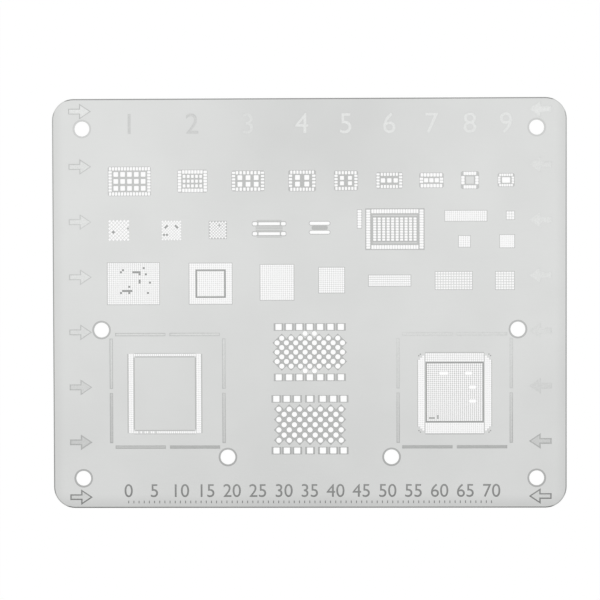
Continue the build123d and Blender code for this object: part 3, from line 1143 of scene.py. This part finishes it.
class STENCIL_OT_ball_fields(bpy.types.Operator):
    """Lays the dense ball fields, the gaps in the largest, and the field with a solid ring."""

    bl_idname = "stencil.ball_fields"
    bl_label = "Ball fields"

    def execute(self, context):
        obj = new_lines("field_lines")
        for field in BALL_FIELDS:
            ball_field(obj, *field, FIELD_HALO)
        ball_field(obj, *LARGE_FIELD, FIELD_HALO)
        (x, y), _, (across, along), _ = LARGE_FIELD
        for (column, row), (columns, rows) in LARGE_FIELD_GAPS:
            spot, size = (x + column * across, y + row * along), (columns * across, rows * along)
            leave_solid(obj, spot, size)
            lay_grid(obj, spot, [side - PATCH_GAP for side in size], line=RING)
        ringed = new_lines("ringed_lines")
        side = context.scene.stencil_openings.fine_ball / MM
        ball, pitch = (side, side), (RINGED_PITCH, RINGED_PITCH)
        outer_ball = (RINGED_OUTER_SHARE * side, RINGED_OUTER_SHARE * side)
        ball_field(ringed, RINGED_FIELD, RINGED_COUNTS, pitch, outer_ball, FIELD_HALO)
        leave_solid(ringed, RINGED_FIELD, RING_OUTER)
        lay_grid(ringed, RINGED_FIELD, ball, *RINGED_INNER_COUNTS, pitch, corner=side * BALL_CORNER)
        lay_grid(ringed, RINGED_FIELD, RING_OUTER, line=RING)
        lay_grid(ringed, RINGED_FIELD, RING_INNER, line=RING)
        return {"FINISHED"}


class STENCIL_OT_dot_arrays(bpy.types.Operator):
    """Lays the two arrays of round openings and their rows of squares."""

    bl_idname = "stencil.dot_arrays"
    bl_label = "Round opening arrays"

    def execute(self, context):
        sizes = context.scene.stencil_openings
        dot, square = sizes.dot / MM, sizes.square / MM
        obj = new_lines("array_lines")
        # Each round opening stands on a tinted tile, turned by an eighth, and the tiles nearly touch.
        for place, columns, step, narrow, share in DOT_ARRAYS:
            pitch, tile = (step, step / 2), step - TILE_GAP
            for side, line, sides in ((share * dot, RIMMED, DOT_SIDES), (tile, RIM, TILE_SIDES)):
                lay_grid(obj, place, (side, side), columns, DOT_ROWS, pitch, line, narrow=narrow, sides=sides)
        lay_grid(obj, DOT_ARRAYS[0][0], (dot, dot), 2, 2, OUTER_DOTS_STEP, RIMMED, DOT_RIM, sides=DOT_SIDES)
        corner = {"corner": SLOT_CORNER, "corner_points": FEW_POINTS}
        for place, count, span in SQUARE_ROWS:
            pitch, tint = (SQUARE_STEP, span), [square + more for more in SQUARE_SHADE]
            lay_grid(obj, place, (square, square), count, 2, pitch, RIMMED, **corner)
            # The tinted steel round the squares is painted shade between and round them.
            lay_grid(obj, place, tint, count, 2, pitch, RIM)
        return {"FINISHED"}


class STENCIL_OT_left_processor(bpy.types.Operator):
    """Lays the left processor's two rails and two thin rows, with the breaks in the lower one."""

    bl_idname = "stencil.left_processor"
    bl_label = "Left processor"

    def execute(self, context):
        obj = new_lines("railed_lines")
        x, y = LEFT_PROCESSOR
        for side in (-1, 1):
            ball_field(obj, (x + side * RAIL_OFFSET, y), *RAIL, 0.0)
            # Painted shade beside each rail, drawn as tinted lines
            for outwards, size in RAIL_SHADES:
                lay_grid(obj, (x + side * (RAIL_OFFSET + outwards), y), size, line=RIM)
        for offset in THIN_ROW_OFFSETS:
            ball_field(obj, (x, y + offset), *THIN_ROW, 0.0)
            # Painted shade beside each thin row, drawn as tinted lines
            for outwards, size in ROW_SHADES:
                lay_grid(obj, (x, y + offset + math.copysign(outwards, outwards * offset)), size, line=RIM)
        for place, width in THIN_ROW_BREAKS:
            leave_solid(obj, (place, y + min(THIN_ROW_OFFSETS)), (width, BREAK_HEIGHT))
        return {"FINISHED"}


class STENCIL_OT_right_processor(bpy.types.Operator):
    """Lays the right processor: its middle, the dark line round it and the four bands."""

    bl_idname = "stencil.right_processor"
    bl_label = "Right processor"

    def execute(self, context):
        obj = new_lines("banded_lines")
        x, y = RIGHT_PROCESSOR
        side, pitch = CORE_OPENING, CORE_PITCH
        lay_grid(obj, (x, y), (side, side), *CORE_COUNTS, pitch, RIMMED, corner=PAD_CORNER)
        for place, size in CORE_SOLIDS:
            leave_solid(obj, place, size)
        for middle, extent in CORE_LARGE_OPENINGS:
            place = (x + middle[0] * pitch[0], y + middle[1] * pitch[1])
            leave_solid(obj, place, (extent[0] * pitch[0], extent[1] * pitch[1]))
            size = [(count - 1) * step + side for count, step in zip(extent, pitch)]
            lay_grid(obj, place, size, line=RIMMED, corner=LARGE_OPENING_CORNER, corner_points=FEW_POINTS)
        lay_grid(obj, (x, y), CORE_TINT, line=RIM)
        for line, edge in ((FIELD, 0.0), (RING, PATCH_GAP)):
            lay_grid(obj, (x, y), [length + edge for length in CORE_LINE_INNER], line=line)
            lay_grid(obj, (x, y), [length - edge for length in CORE_LINE_OUTER], line=line)
        pitch = (BAND_STEP, BAND_STEP)
        for offset, counts, ball in LYING_BANDS:
            ball_field(obj, (x, y + offset), counts, pitch, (ball, ball), BAND_HALO)
        ball = (STANDING_BAND_OPENING, STANDING_BAND_OPENING)
        for side in (-1, 1):
            middle_x, middle_y = x + side * STANDING_BANDS_OFFSET, y - STANDING_BANDS_DROP
            ball_field(obj, (middle_x, middle_y), STANDING_BAND_COUNTS, pitch, ball, 0.0)
            for up in (-1, 1):
                end = middle_y + up * (STANDING_BAND_COUNTS[1] - 1) / 2 * BAND_STEP
                # The corner is cut off: one opening goes from the inner column, and two and three from
                # the others.
                for column in (-1, 0, 1):
                    steps = column + 1
                    place = (middle_x + side * column * BAND_STEP, end - up * steps / 2 * BAND_STEP)
                    leave_solid(obj, place, (CUT_BOX_SHARE * BAND_STEP, (steps + CUT_BOX_SHARE) * BAND_STEP))
                for across, along in SPECKS:
                    place = (middle_x + side * across, end + up * along)
                    lay_grid(obj, place, (SPECK, SPECK), line=RING, sides=SPECK_SIDES)
            lay_grid(obj, (middle_x + side * STANDING_LINE_OFFSET, middle_y), STANDING_LINE, line=RIM)
            lay_grid(obj, (x, y - LYING_LINES_DROP + side * LYING_LINES_OFFSET), LYING_LINE, line=RIM)
        return {"FINISHED"}


def mark_loops(name, loops):
    """A hidden mesh of closed loops for one etched mark, each with its kind of line."""
    mesh = bpy.data.meshes.new(name)
    points = []
    edges = []
    kinds = []
    for loop, kind in loops:
        start = len(points)
        points += [(x, y, 0.0) for x, y in loop]
        edges += [(start + i, start + (i + 1) % len(loop)) for i in range(len(loop))]
        kinds += [kind] * len(loop)
    mesh.from_pydata(points, edges, [])
    mesh.attributes.new("line", "INT", "POINT").data.foreach_set("value", kinds)
    return bpy.data.objects.new(name, mesh)


def inset(loop, distance):
    """A counter-clockwise loop moved inwards by a distance, corner by corner."""
    result = []
    for i, (x, y) in enumerate(loop):
        before, after = loop[i - 1], loop[(i + 1) % len(loop)]
        ax, ay = x - before[0], y - before[1]
        bx, by = after[0] - x, after[1] - y
        a_len, b_len = math.hypot(ax, ay), math.hypot(bx, by)
        nx, ny = -ay / a_len, ax / a_len
        mx, my = -by / b_len, bx / b_len
        scale = distance / (1 + nx * mx + ny * my)
        result.append((x + (nx + mx) * scale, y + (ny + my) * scale))
    return result


class STENCIL_OT_frames(bpy.types.Operator):
    """Lays the etched grooves that frame both processors."""

    bl_idname = "stencil.frames"
    bl_label = "Grooved frames"

    def execute(self, context):
        obj = new_lines("frame_lines")
        half = FRAME_SPAN / 2
        middle = (GROOVE[0] - 2 * GROOVE_EDGE, GROOVE[1] - 2 * GROOVE_EDGE)
        for x, y in FRAME_PLACES:
            for turn in (0, QUARTER_TURN):
                lay_grid(obj, (x, y), GROOVE, 2, 2, (GROOVE_STEP, FRAME_SPAN), ETCHED, turn=turn)
            # Painted light and shade: inside a dark edge, the grooves on the far side and on both flanks get
            # the pale finish, painted light, and so does one on the left frame's near side; the other near
            # grooves stay all dark, painted shade.
            lay_grid(obj, (x, y + half), middle, 2, 1, (GROOVE_STEP, NO_STEP), INNER)
            lay_grid(obj, (x, y), middle, 2, 2, (GROOVE_STEP, FRAME_SPAN), INNER, turn=QUARTER_TURN)
        x, y = FRAME_PLACES[0]
        lay_grid(obj, (x - GROOVE_STEP / 2, y - half), middle, line=INNER)
        return {"FINISHED"}


class STENCIL_OT_arrows(bpy.types.Operator):
    """Lays the arrows down both short sides."""

    bl_idname = "stencil.arrows"
    bl_label = "Arrows"

    def execute(self, context):
        obj = new_lines("arrow_lines")
        shaft, head, back, tip = ARROW_SHAFT, ARROW_HEAD, ARROW_BACK, ARROW_TIP
        arrow = [(back, -shaft), (0, -shaft), (0, -head), (tip, 0), (0, head), (0, shaft), (back, shaft)]
        thin_name, bold_name, faint_name = MARK_NAMES
        # Painted light and shade: thin and bold dark outlines, and faint all-pale arrows, of the same etched
        # arrow
        thin = mark_loops(thin_name, [(arrow, ETCHED), (inset(arrow, THIN_STROKE), INNER)])
        bold = mark_loops(bold_name, [(arrow, ETCHED), (inset(arrow, BOLD_STROKE), INNER)])
        faint = mark_loops(faint_name, [(arrow, PALE)])
        for mark, (x, y), turn, first, last in (
            (thin, LEFT_ARROWS, 0.0, 0, BOLD_ARROWS),
            (bold, LEFT_ARROWS, 0.0, BOLD_ARROWS, ARROW_COUNT),
            (faint, RIGHT_ARROWS, math.pi, 0, FAINT_ARROWS),
            (bold, RIGHT_ARROWS, math.pi, FAINT_ARROWS, ARROW_COUNT),
        ):
            use_tree(
                obj,
                "Mark row",
                {
                    "Mark": mark,
                    "Count": last - first,
                    "Start": (x, y - first * ARROW_STEP, 0.0),
                    "Step": (0.0, -ARROW_STEP, 0.0),
                    "Turn": turn,
                },
            )
        return {"FINISHED"}


class STENCIL_OT_numbers(bpy.types.Operator):
    """Lays a plain scale near the bottom edge and a plain number over each package."""

    bl_idname = "stencil.numbers"
    bl_label = "Scale and numbers"

    def execute(self, context):
        obj = new_lines("number_lines")
        numbers = [
            (SCALE_STEP * i, SCALE_HEIGHT, (SCALE_START + SCALE_STEP * i, SCALE_ROW, 0.0), ETCHED)
            for i in range(SCALE_NUMBERS)
        ]
        numbers += [
            (i + 1, NUMBER_HEIGHT, (package[0], NUMBER_ROW, 0.0), PALE) for i, package in enumerate(PACKAGES)
        ]
        for number, height, place, line in numbers:
            use_tree(obj, "Plain number", {"Number": number, "Height": height, "Place": place, "Line": line})
        ticks = SCALE_STEP * (SCALE_NUMBERS - 1) + 1
        lay_grid(obj, (0, SCALE_TICKS_ROW), SCALE_TICK, ticks, 1, (TICK_STEP, NO_STEP), ETCHED)
        return {"FINISHED"}


def steel(name, colour, roughness, build):
    """A metal material. build adds its pattern and returns sockets for colour, roughness and normal."""
    material = bpy.data.materials.new(name)
    material.use_nodes = True
    tree = material.node_tree
    tree.nodes.clear()
    place = add(tree, "ShaderNodeTexCoord").outputs["Object"]
    inputs = {"Metallic": 1.0, "Roughness": roughness, "Base Color": (*colour, 1.0)}
    inputs.update(build(tree, place, colour))
    shader = add(tree, "ShaderNodeBsdfPrincipled", inputs)
    add(tree, "ShaderNodeOutputMaterial", {"Surface": shader.outputs[0]})
    return material


def ranged(tree, value, low, high, tone_low, tone_high, kind="SMOOTHSTEP"):
    """A tone that runs from one value to another while an input does."""
    inputs = {"Value": value, "From Min": low, "From Max": high, "To Min": tone_low, "To Max": tone_high}
    return add(tree, "ShaderNodeMapRange", inputs, interpolation_type=kind).outputs[0]


def tinted(tree, colour, tones):
    """A colour times several tones."""
    tone = tones[0]
    for other in tones[1:]:
        tone = add(tree, "ShaderNodeMath", {0: tone, 1: other}, operation="MULTIPLY").outputs[0]
    return add(tree, "ShaderNodeVectorMath", {0: colour, "Scale": tone}, operation="SCALE").outputs[0]


def away_from_middle(tree, place):
    """Distances from the sheet's middle along the long side and along the short side."""
    flat = add(tree, "ShaderNodeVectorMath", {0: place}, operation="ABSOLUTE").outputs[0]
    return add(tree, "ShaderNodeSeparateXYZ", {0: flat}).outputs


# Scales of the patterns, in repeats a metre. The real grain is about 0.02 mm wide. It is drawn 0.15 mm
# wide and 6 mm long, so that it shows. The clouds are about 14 mm wide. The slag's spots are drawn at
# 0.11 mm and the etched pits at 0.17 mm, also coarser than real ones.
GRAIN_SCALE = (160.0, 6500.0, 6500.0)
CLOUD_SCALE = 70.0
SLAG_SCALE = 9000.0
PIT_SCALE = 6000.0

# Where tones change, in metres: the way from a spot of painted shade on the far side to the middle and
# the spot's shape, the widths of the painted shade along the short sides and the near side, and how far
# in from the edge the dark tint of the sheet's own cut ends
SHADE_SPOT = (-0.002, -0.036, 0.0)
SHADE_SPOT_SHAPE = (0.7, 1.0, 0.0)
SHADED_END = 0.0025
SHADED_SIDE = 0.003
EDGE_TINT = (0.0003, 0.0005)

# The same for the etched marks: where the arrows lie, outwards, and the numbers and the near grooves,
# up the sheet
ARROWS_FROM = (0.0412, 0.0416)
NUMBERS_FROM = (0.028, 0.031)
NEAR_GROOVES_TO = (-0.017, -0.0155)


def rolled(tree, place, colour):
    """Fine grain along the long side from the rolling mill and faint clouds, with painted shade: darker at a
    spot on the far side, towards the middle and the near side, and along the short ends and the near edge.
    """
    stretched = add(tree, "ShaderNodeMapping", {"Vector": place, "Scale": GRAIN_SCALE}).outputs[0]
    cloudy = {"Vector": place, "Scale": CLOUD_SCALE, "Detail": 2.0}
    grain = add(tree, "ShaderNodeTexNoise", {"Vector": stretched, "Scale": 1.0, "Detail": 3.0}).outputs[0]
    clouds = add(tree, "ShaderNodeTexNoise", cloudy).outputs[0]
    moved = add(tree, "ShaderNodeVectorMath", {0: place, 1: SHADE_SPOT}, operation="ADD").outputs[0]
    oval = add(tree, "ShaderNodeVectorMath", {0: moved, 1: SHADE_SPOT_SHAPE}, operation="MULTIPLY").outputs[0]
    from_spot = add(tree, "ShaderNodeVectorMath", {0: oval}, operation="LENGTH").outputs["Value"]
    along = add(tree, "ShaderNodeSeparateXYZ", {0: place}).outputs["Y"]
    away = away_from_middle(tree, place)
    sizes = bpy.context.scene.stencil_sheet
    half_length, half_width = sizes.length / 2, sizes.width / 2
    # Painted shade: darker at the spot on the far side, towards the middle and the near side, and along the
    # ends and the near edge. The grain and clouds are the steel's own.
    tones = [
        ranged(tree, from_spot, 0.003, 0.024, 0.945, 1.0),
        ranged(tree, grain, 0.3, 0.7, 0.990, 1.008),
        ranged(tree, clouds, 0.3, 0.7, 0.985, 1.015),
        ranged(tree, away["X"], 0.0, 0.040, 0.975, 1.0),
        ranged(tree, along, -0.038, 0.010, 0.945, 1.0),
        ranged(tree, away["X"], half_length - SHADED_END, half_length, 1.0, 0.93),
        ranged(tree, along, -half_width, SHADED_SIDE - half_width, 0.88, 1.0),
    ]
    rough = ranged(tree, grain, 0.0, 1.0, 0.40, 0.54)
    bump = add(tree, "ShaderNodeBump", {"Strength": 0.06, "Distance": 0.00001, "Height": grain})
    return {"Base Color": tinted(tree, colour, tones), "Roughness": rough, "Normal": bump.outputs[0]}


def laser_cut_and_painted_shade(tree, place, colour):
    """Steel beside and inside a laser cut: heat tinted, finely spotted, and darkest at the sheet's edge, with
    painted light and shade up and along the sheet. It also colours the painted shade beside patterns.
    """
    spots = add(tree, "ShaderNodeTexNoise", {"Vector": place, "Scale": SLAG_SCALE, "Detail": 2.0}).outputs[0]
    along = add(tree, "ShaderNodeSeparateXYZ", {0: place}).outputs["Y"]
    away = away_from_middle(tree, place)
    sizes = bpy.context.scene.stencil_sheet
    half_length, half_width = sizes.length / 2, sizes.width / 2
    near, far = EDGE_TINT
    # Painted light and shade: lighter towards the far side and the short ends, darker towards the near side,
    # and the dark tint at the sheet's cut edge strongest on the near side, weaker on the far side and weakest
    # at the ends.
    tones = [
        ranged(tree, spots, 0.3, 0.7, 0.92, 1.06),
        ranged(tree, along, -0.008, 0.026, 0.93, 1.04),
        ranged(tree, along, -0.030, -0.026, 0.89, 1.0),
        ranged(tree, along, 0.027, 0.032, 1.0, 1.11),
        ranged(tree, away["X"], 0.0, 0.035, 0.96, 1.03),
        ranged(tree, away["X"], half_length - far, half_length - near, 1.0, 0.66),
        ranged(tree, along, near - half_width, far - half_width, 0.40, 1.0),
        ranged(tree, along, half_width - far, half_width - near, 1.0, 0.48),
    ]
    return {"Base Color": tinted(tree, colour, tones)}


def pitted(tree, place, colour, steps, more=()):
    """Fine pits, and a tone that changes up the sheet. Each step has its two places and its two tones."""
    pits = add(tree, "ShaderNodeTexNoise", {"Vector": place, "Scale": PIT_SCALE, "Detail": 3.0}).outputs[0]
    along = add(tree, "ShaderNodeSeparateXYZ", {0: place}).outputs["Y"]
    tones = [ranged(tree, pits, 0.3, 0.7, 0.95, 1.05)]
    tones += [ranged(tree, along, *step, "LINEAR") for step in steps]
    tones += more
    bump = add(tree, "ShaderNodeBump", {"Strength": 0.3, "Distance": 0.00001, "Height": pits})
    return {"Base Color": tinted(tree, colour, tones), "Normal": bump.outputs[0]}


def etched(tree, place, colour):
    """Etched steel: matte and pitted, with painted light and shade: darkest along the near edge and paler
    towards the far side.
    """
    steps = ((-0.0385, -0.0275, 0.76, 1.43), (-0.0275, 0.012, 1.0, 1.28), (0.018, 0.030, 1.0, 0.92))
    spot = add(tree, "ShaderNodeSeparateXYZ", {0: place}).outputs
    # Painted light: the etch gets lighter to the right, except on the frames' near sides.
    light = ranged(tree, spot["X"], -0.030, 0.006, 1.0, 1.18, "LINEAR")
    return pitted(tree, place, colour, steps, [ranged(tree, spot["Y"], -0.026, -0.012, 1.0, light)])


def pale_etch_and_painted_light(tree, place, colour):
    """The pale middle of an etched mark, and the pale marks: nearly the sheet's own tone, with painted shade
    that makes it mostly darker towards the near edge. On the arrows and grooves the paleness itself is
    painted light.
    """
    steps = (
        (-0.036, -0.030, 1.16, 1.0),
        (-0.038, -0.002, 0.84, 1.11),
        (-0.002, 0.006, 1.0, 1.03),
        (0.028, 0.034, 1.0, 1.045),
    )
    spot = add(tree, "ShaderNodeSeparateXYZ", {0: place}).outputs
    away = away_from_middle(tree, place)
    # The left numbers, the grooves near the left corner and the first two arrows are darker; on the grooves
    # and arrows this is painted shade.
    left_numbers = ranged(tree, spot["X"], -0.024, -0.004, 0.82, 1.0)
    left_grooves = ranged(tree, spot["X"], -0.030, -0.020, 0.92, 1.0)
    numbers = ranged(tree, spot["Y"], *NUMBERS_FROM, 1.0, left_numbers)
    grooves = ranged(tree, spot["Y"], *NEAR_GROOVES_TO, left_grooves, numbers)
    arrows = ranged(tree, spot["Y"], 0.016, 0.022, 1.0, 0.985)
    return pitted(tree, place, colour, steps, [ranged(tree, away["X"], *ARROWS_FROM, grooves, arrows)])


# What the steel looks like: name, input of the tree that takes it, its colour's name, roughness, pattern
FINISHES = (
    # 304 stainless steel, matte cold rolled: a soft even sheen with grain along the roll, and painted shade
    #                                         in its tone
    ("matte_rolled_stainless", "Sheet finish", "sheet", 0.46, rolled),
    # The same steel tinted by heat beside a laser cut: darker and a little duller. It also draws the painted
    # shade beside the fields, rails, rows, bars and squares, and has painted light and shade in its tone
    ("heat_tinted_stainless", "Rim finish", "rim", 0.50, laser_cut_and_painted_shade),
    # The laser cut itself: dark, with fine slag, and the same painted light and shade in its tone
    ("laser_cut_stainless", "Wall finish", "wall", 0.60, laser_cut_and_painted_shade),
    # Etched steel: dull grey and pitted, with painted light and shade in its tone
    ("etched_stainless", "Etched finish", "etched", 0.65, etched),
    # The same etched steel drawn pale, close to the sheet's tone: painted light on the lit arrows and grooves
    ("lightly_etched_stainless", "Pale finish", "pale", 0.60, pale_etch_and_painted_light),
)


class STENCIL_OT_sheet(bpy.types.Operator):
    """Cuts the sheet from all its lines, in place of the CAD node."""

    bl_idname = "stencil.sheet"
    bl_label = "Cut the sheet"

    def execute(self, context):
        sizes = context.scene.stencil_sheet
        colours = context.scene.stencil_finishes
        finishes = {
            slot: steel(name, tuple(getattr(colours, colour)), roughness, pattern)
            for name, slot, colour, roughness, pattern in FINISHES
        }
        holder = bpy.data.objects.new("sheet_holder", bpy.data.meshes.new("sheet_holder"))
        context.scene.collection.objects.link(holder)
        use_tree(
            holder,
            "Cut sheet",
            {
                "Lines": lines_collection(),
                "Thickness": sizes.thickness / MM,
                "Etch depth": sizes.etch_depth / MM,
                "Scale": MM,
                **finishes,
            },
        )
        graph = context.evaluated_depsgraph_get()
        mesh = bpy.data.meshes.new_from_object(holder.evaluated_get(graph), depsgraph=graph)
        bpy.data.objects.remove(holder)
        for obj in list(lines_collection().objects):
            bpy.data.objects.remove(obj)
        bpy.data.collections.remove(lines_collection())
        for name in MARK_NAMES:
            bpy.data.objects.remove(bpy.data.objects[name])
        shell = bmesh.new()
        shell.from_mesh(mesh)
        bmesh.ops.recalc_face_normals(shell, faces=shell.faces)
        open_edges = [edge for edge in shell.edges if len(edge.link_faces) != 2]
        if open_edges or not shell.faces:
            raise RuntimeError(f"the sheet isn't closed: {len(open_edges)} open edges of {len(shell.edges)}")
        shell.to_mesh(mesh)
        shell.free()
        mesh.name = PLATE_NAME
        plate = bpy.data.objects.new(PLATE_NAME, mesh)
        context.scene.collection.objects.link(plate)
        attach(plate, "root")
        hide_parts(SHEET_NODE)
        return {"FINISHED"}


# Camera and lamp: places in metres and turns in degrees. The camera looks nearly straight down.
CAMERA_PLACE = (0.001767, 0.005198, 0.27281)
CAMERA_TURN = (-0.9548, 0.7432, -0.1643)
CAMERA_LENS = 85.0
SENSOR_WIDTH = 36.0
CLIP_START = 0.01
CLIP_END = 10.0
LAMP_PLACE = (-0.16, 0.18, 0.42)
LAMP_TURN = (-22, -20, 0)
LAMP_SIZE = (0.5, 0.35)
LAMP_ENERGY = 0.05

# Ground: its side and the gap under the sheet in metres, and how much of its white is its own, the rest
# taking the shadow
FLOOR_SIDE = 3.0
FLOOR_GAP = 0.00001
FLOOR_GLOW = 0.9


class STENCIL_OT_stage(bpy.types.Operator):
    """Sets the white floor, the soft lights and the camera."""

    bl_idname = "stencil.stage"
    bl_label = "Stage"

    def execute(self, context):
        scene = context.scene
        scene.view_settings.view_transform = "Standard"
        half = FLOOR_SIDE / 2
        corners = [(-half, -half), (half, -half), (half, half), (-half, half)]
        mesh = bpy.data.meshes.new("floor")
        mesh.from_pydata([(x, y, -FLOOR_GAP) for x, y in corners], [], [(0, 1, 2, 3)])
        floor = bpy.data.objects.new("floor", mesh)
        scene.collection.objects.link(floor)
        white = bpy.data.materials.new("white_ground")
        white.use_nodes = True
        tree = white.node_tree
        tree.nodes.clear()
        colour = (*scene.stencil_finishes.floor, 1.0)
        rays = add(tree, "ShaderNodeLightPath").outputs
        seen = rays["Is Camera Ray"]
        for ray in ("Is Glossy Ray", "Is Transmission Ray"):
            seen = add(tree, "ShaderNodeMath", {0: seen, 1: rays[ray]}, operation="MAXIMUM").outputs[0]
        share = add(tree, "ShaderNodeMath", {0: seen, 1: FLOOR_GLOW}, operation="MULTIPLY")
        diffuse = add(tree, "ShaderNodeBsdfDiffuse", {"Color": colour})
        glow = add(tree, "ShaderNodeEmission", {"Color": colour, "Strength": 1.0})
        surfaces = {0: share.outputs[0], 1: diffuse.outputs[0], 2: glow.outputs[0]}
        mixed = add(tree, "ShaderNodeMixShader", surfaces)
        add(tree, "ShaderNodeOutputMaterial", {"Surface": mixed.outputs[0]})
        mesh.materials.append(white)

        world = bpy.data.worlds.new("studio")
        world.use_nodes = True
        world.node_tree.nodes.clear()
        sky = add(world.node_tree, "ShaderNodeBackground", {"Color": (1.0, 1.0, 1.0, 1.0), "Strength": 1.0})
        add(world.node_tree, "ShaderNodeOutputWorld", {"Surface": sky.outputs[0]})
        scene.world = world

        lamp = bpy.data.lights.new("soft_box", "AREA")
        lamp.shape = "RECTANGLE"
        lamp.size, lamp.size_y = LAMP_SIZE
        lamp.energy = LAMP_ENERGY
        lamp_object = bpy.data.objects.new("soft_box", lamp)
        lamp_object.location = LAMP_PLACE
        lamp_object.rotation_euler = Euler([math.radians(angle) for angle in LAMP_TURN])
        scene.collection.objects.link(lamp_object)

        lens = bpy.data.cameras.new("camera")
        lens.lens = CAMERA_LENS
        lens.sensor_width = SENSOR_WIDTH
        lens.clip_start = CLIP_START
        lens.clip_end = CLIP_END
        camera = bpy.data.objects.new("camera", lens)
        camera.location = CAMERA_PLACE
        camera.rotation_euler = Euler([math.radians(angle) for angle in CAMERA_TURN])
        scene.collection.objects.link(camera)
        scene.camera = camera
        return {"FINISHED"}


class STENCIL_PT_panel(bpy.types.Panel):
    """Lists the sizes, the finishes and the steps."""

    bl_idname = "STENCIL_PT_panel"
    bl_label = "Stencil"
    bl_space_type = "VIEW_3D"
    bl_region_type = "UI"
    bl_category = "Stencil"

    def draw(self, context):
        for group in [getattr(context.scene, name) for name in GROUPS]:
            for name in group.bl_rna.properties.keys():
                if name not in ("rna_type", "name"):
                    self.layout.prop(group, name)
        for step in STEPS:
            self.layout.operator(step.bl_idname)


STEPS = (
    STENCIL_OT_outline,
    STENCIL_OT_packages,
    STENCIL_OT_small_patterns,
    STENCIL_OT_memory,
    STENCIL_OT_ball_fields,
    STENCIL_OT_dot_arrays,
    STENCIL_OT_left_processor,
    STENCIL_OT_right_processor,
    STENCIL_OT_frames,
    STENCIL_OT_arrows,
    STENCIL_OT_numbers,
    STENCIL_OT_sheet,
    STENCIL_OT_stage,
)
GROUPS = {"stencil_sheet": SheetSizes, "stencil_openings": OpeningSizes, "stencil_finishes": Finishes}
CLASSES = (*GROUPS.values(), *STEPS, STENCIL_PT_panel)


def register():
    for cls in CLASSES:
        bpy.utils.register_class(cls)
    for name, group in GROUPS.items():
        setattr(bpy.types.Scene, name, bpy.props.PointerProperty(type=group))


def unregister():
    for name in GROUPS:
        delattr(bpy.types.Scene, name)
    for cls in reversed(CLASSES):
        bpy.utils.unregister_class(cls)


def main():
    register()
    for step in STEPS:
        area, name = step.bl_idname.split(".")
        getattr(getattr(bpy.ops, area), name)()


if __name__ == "__main__":
    main()
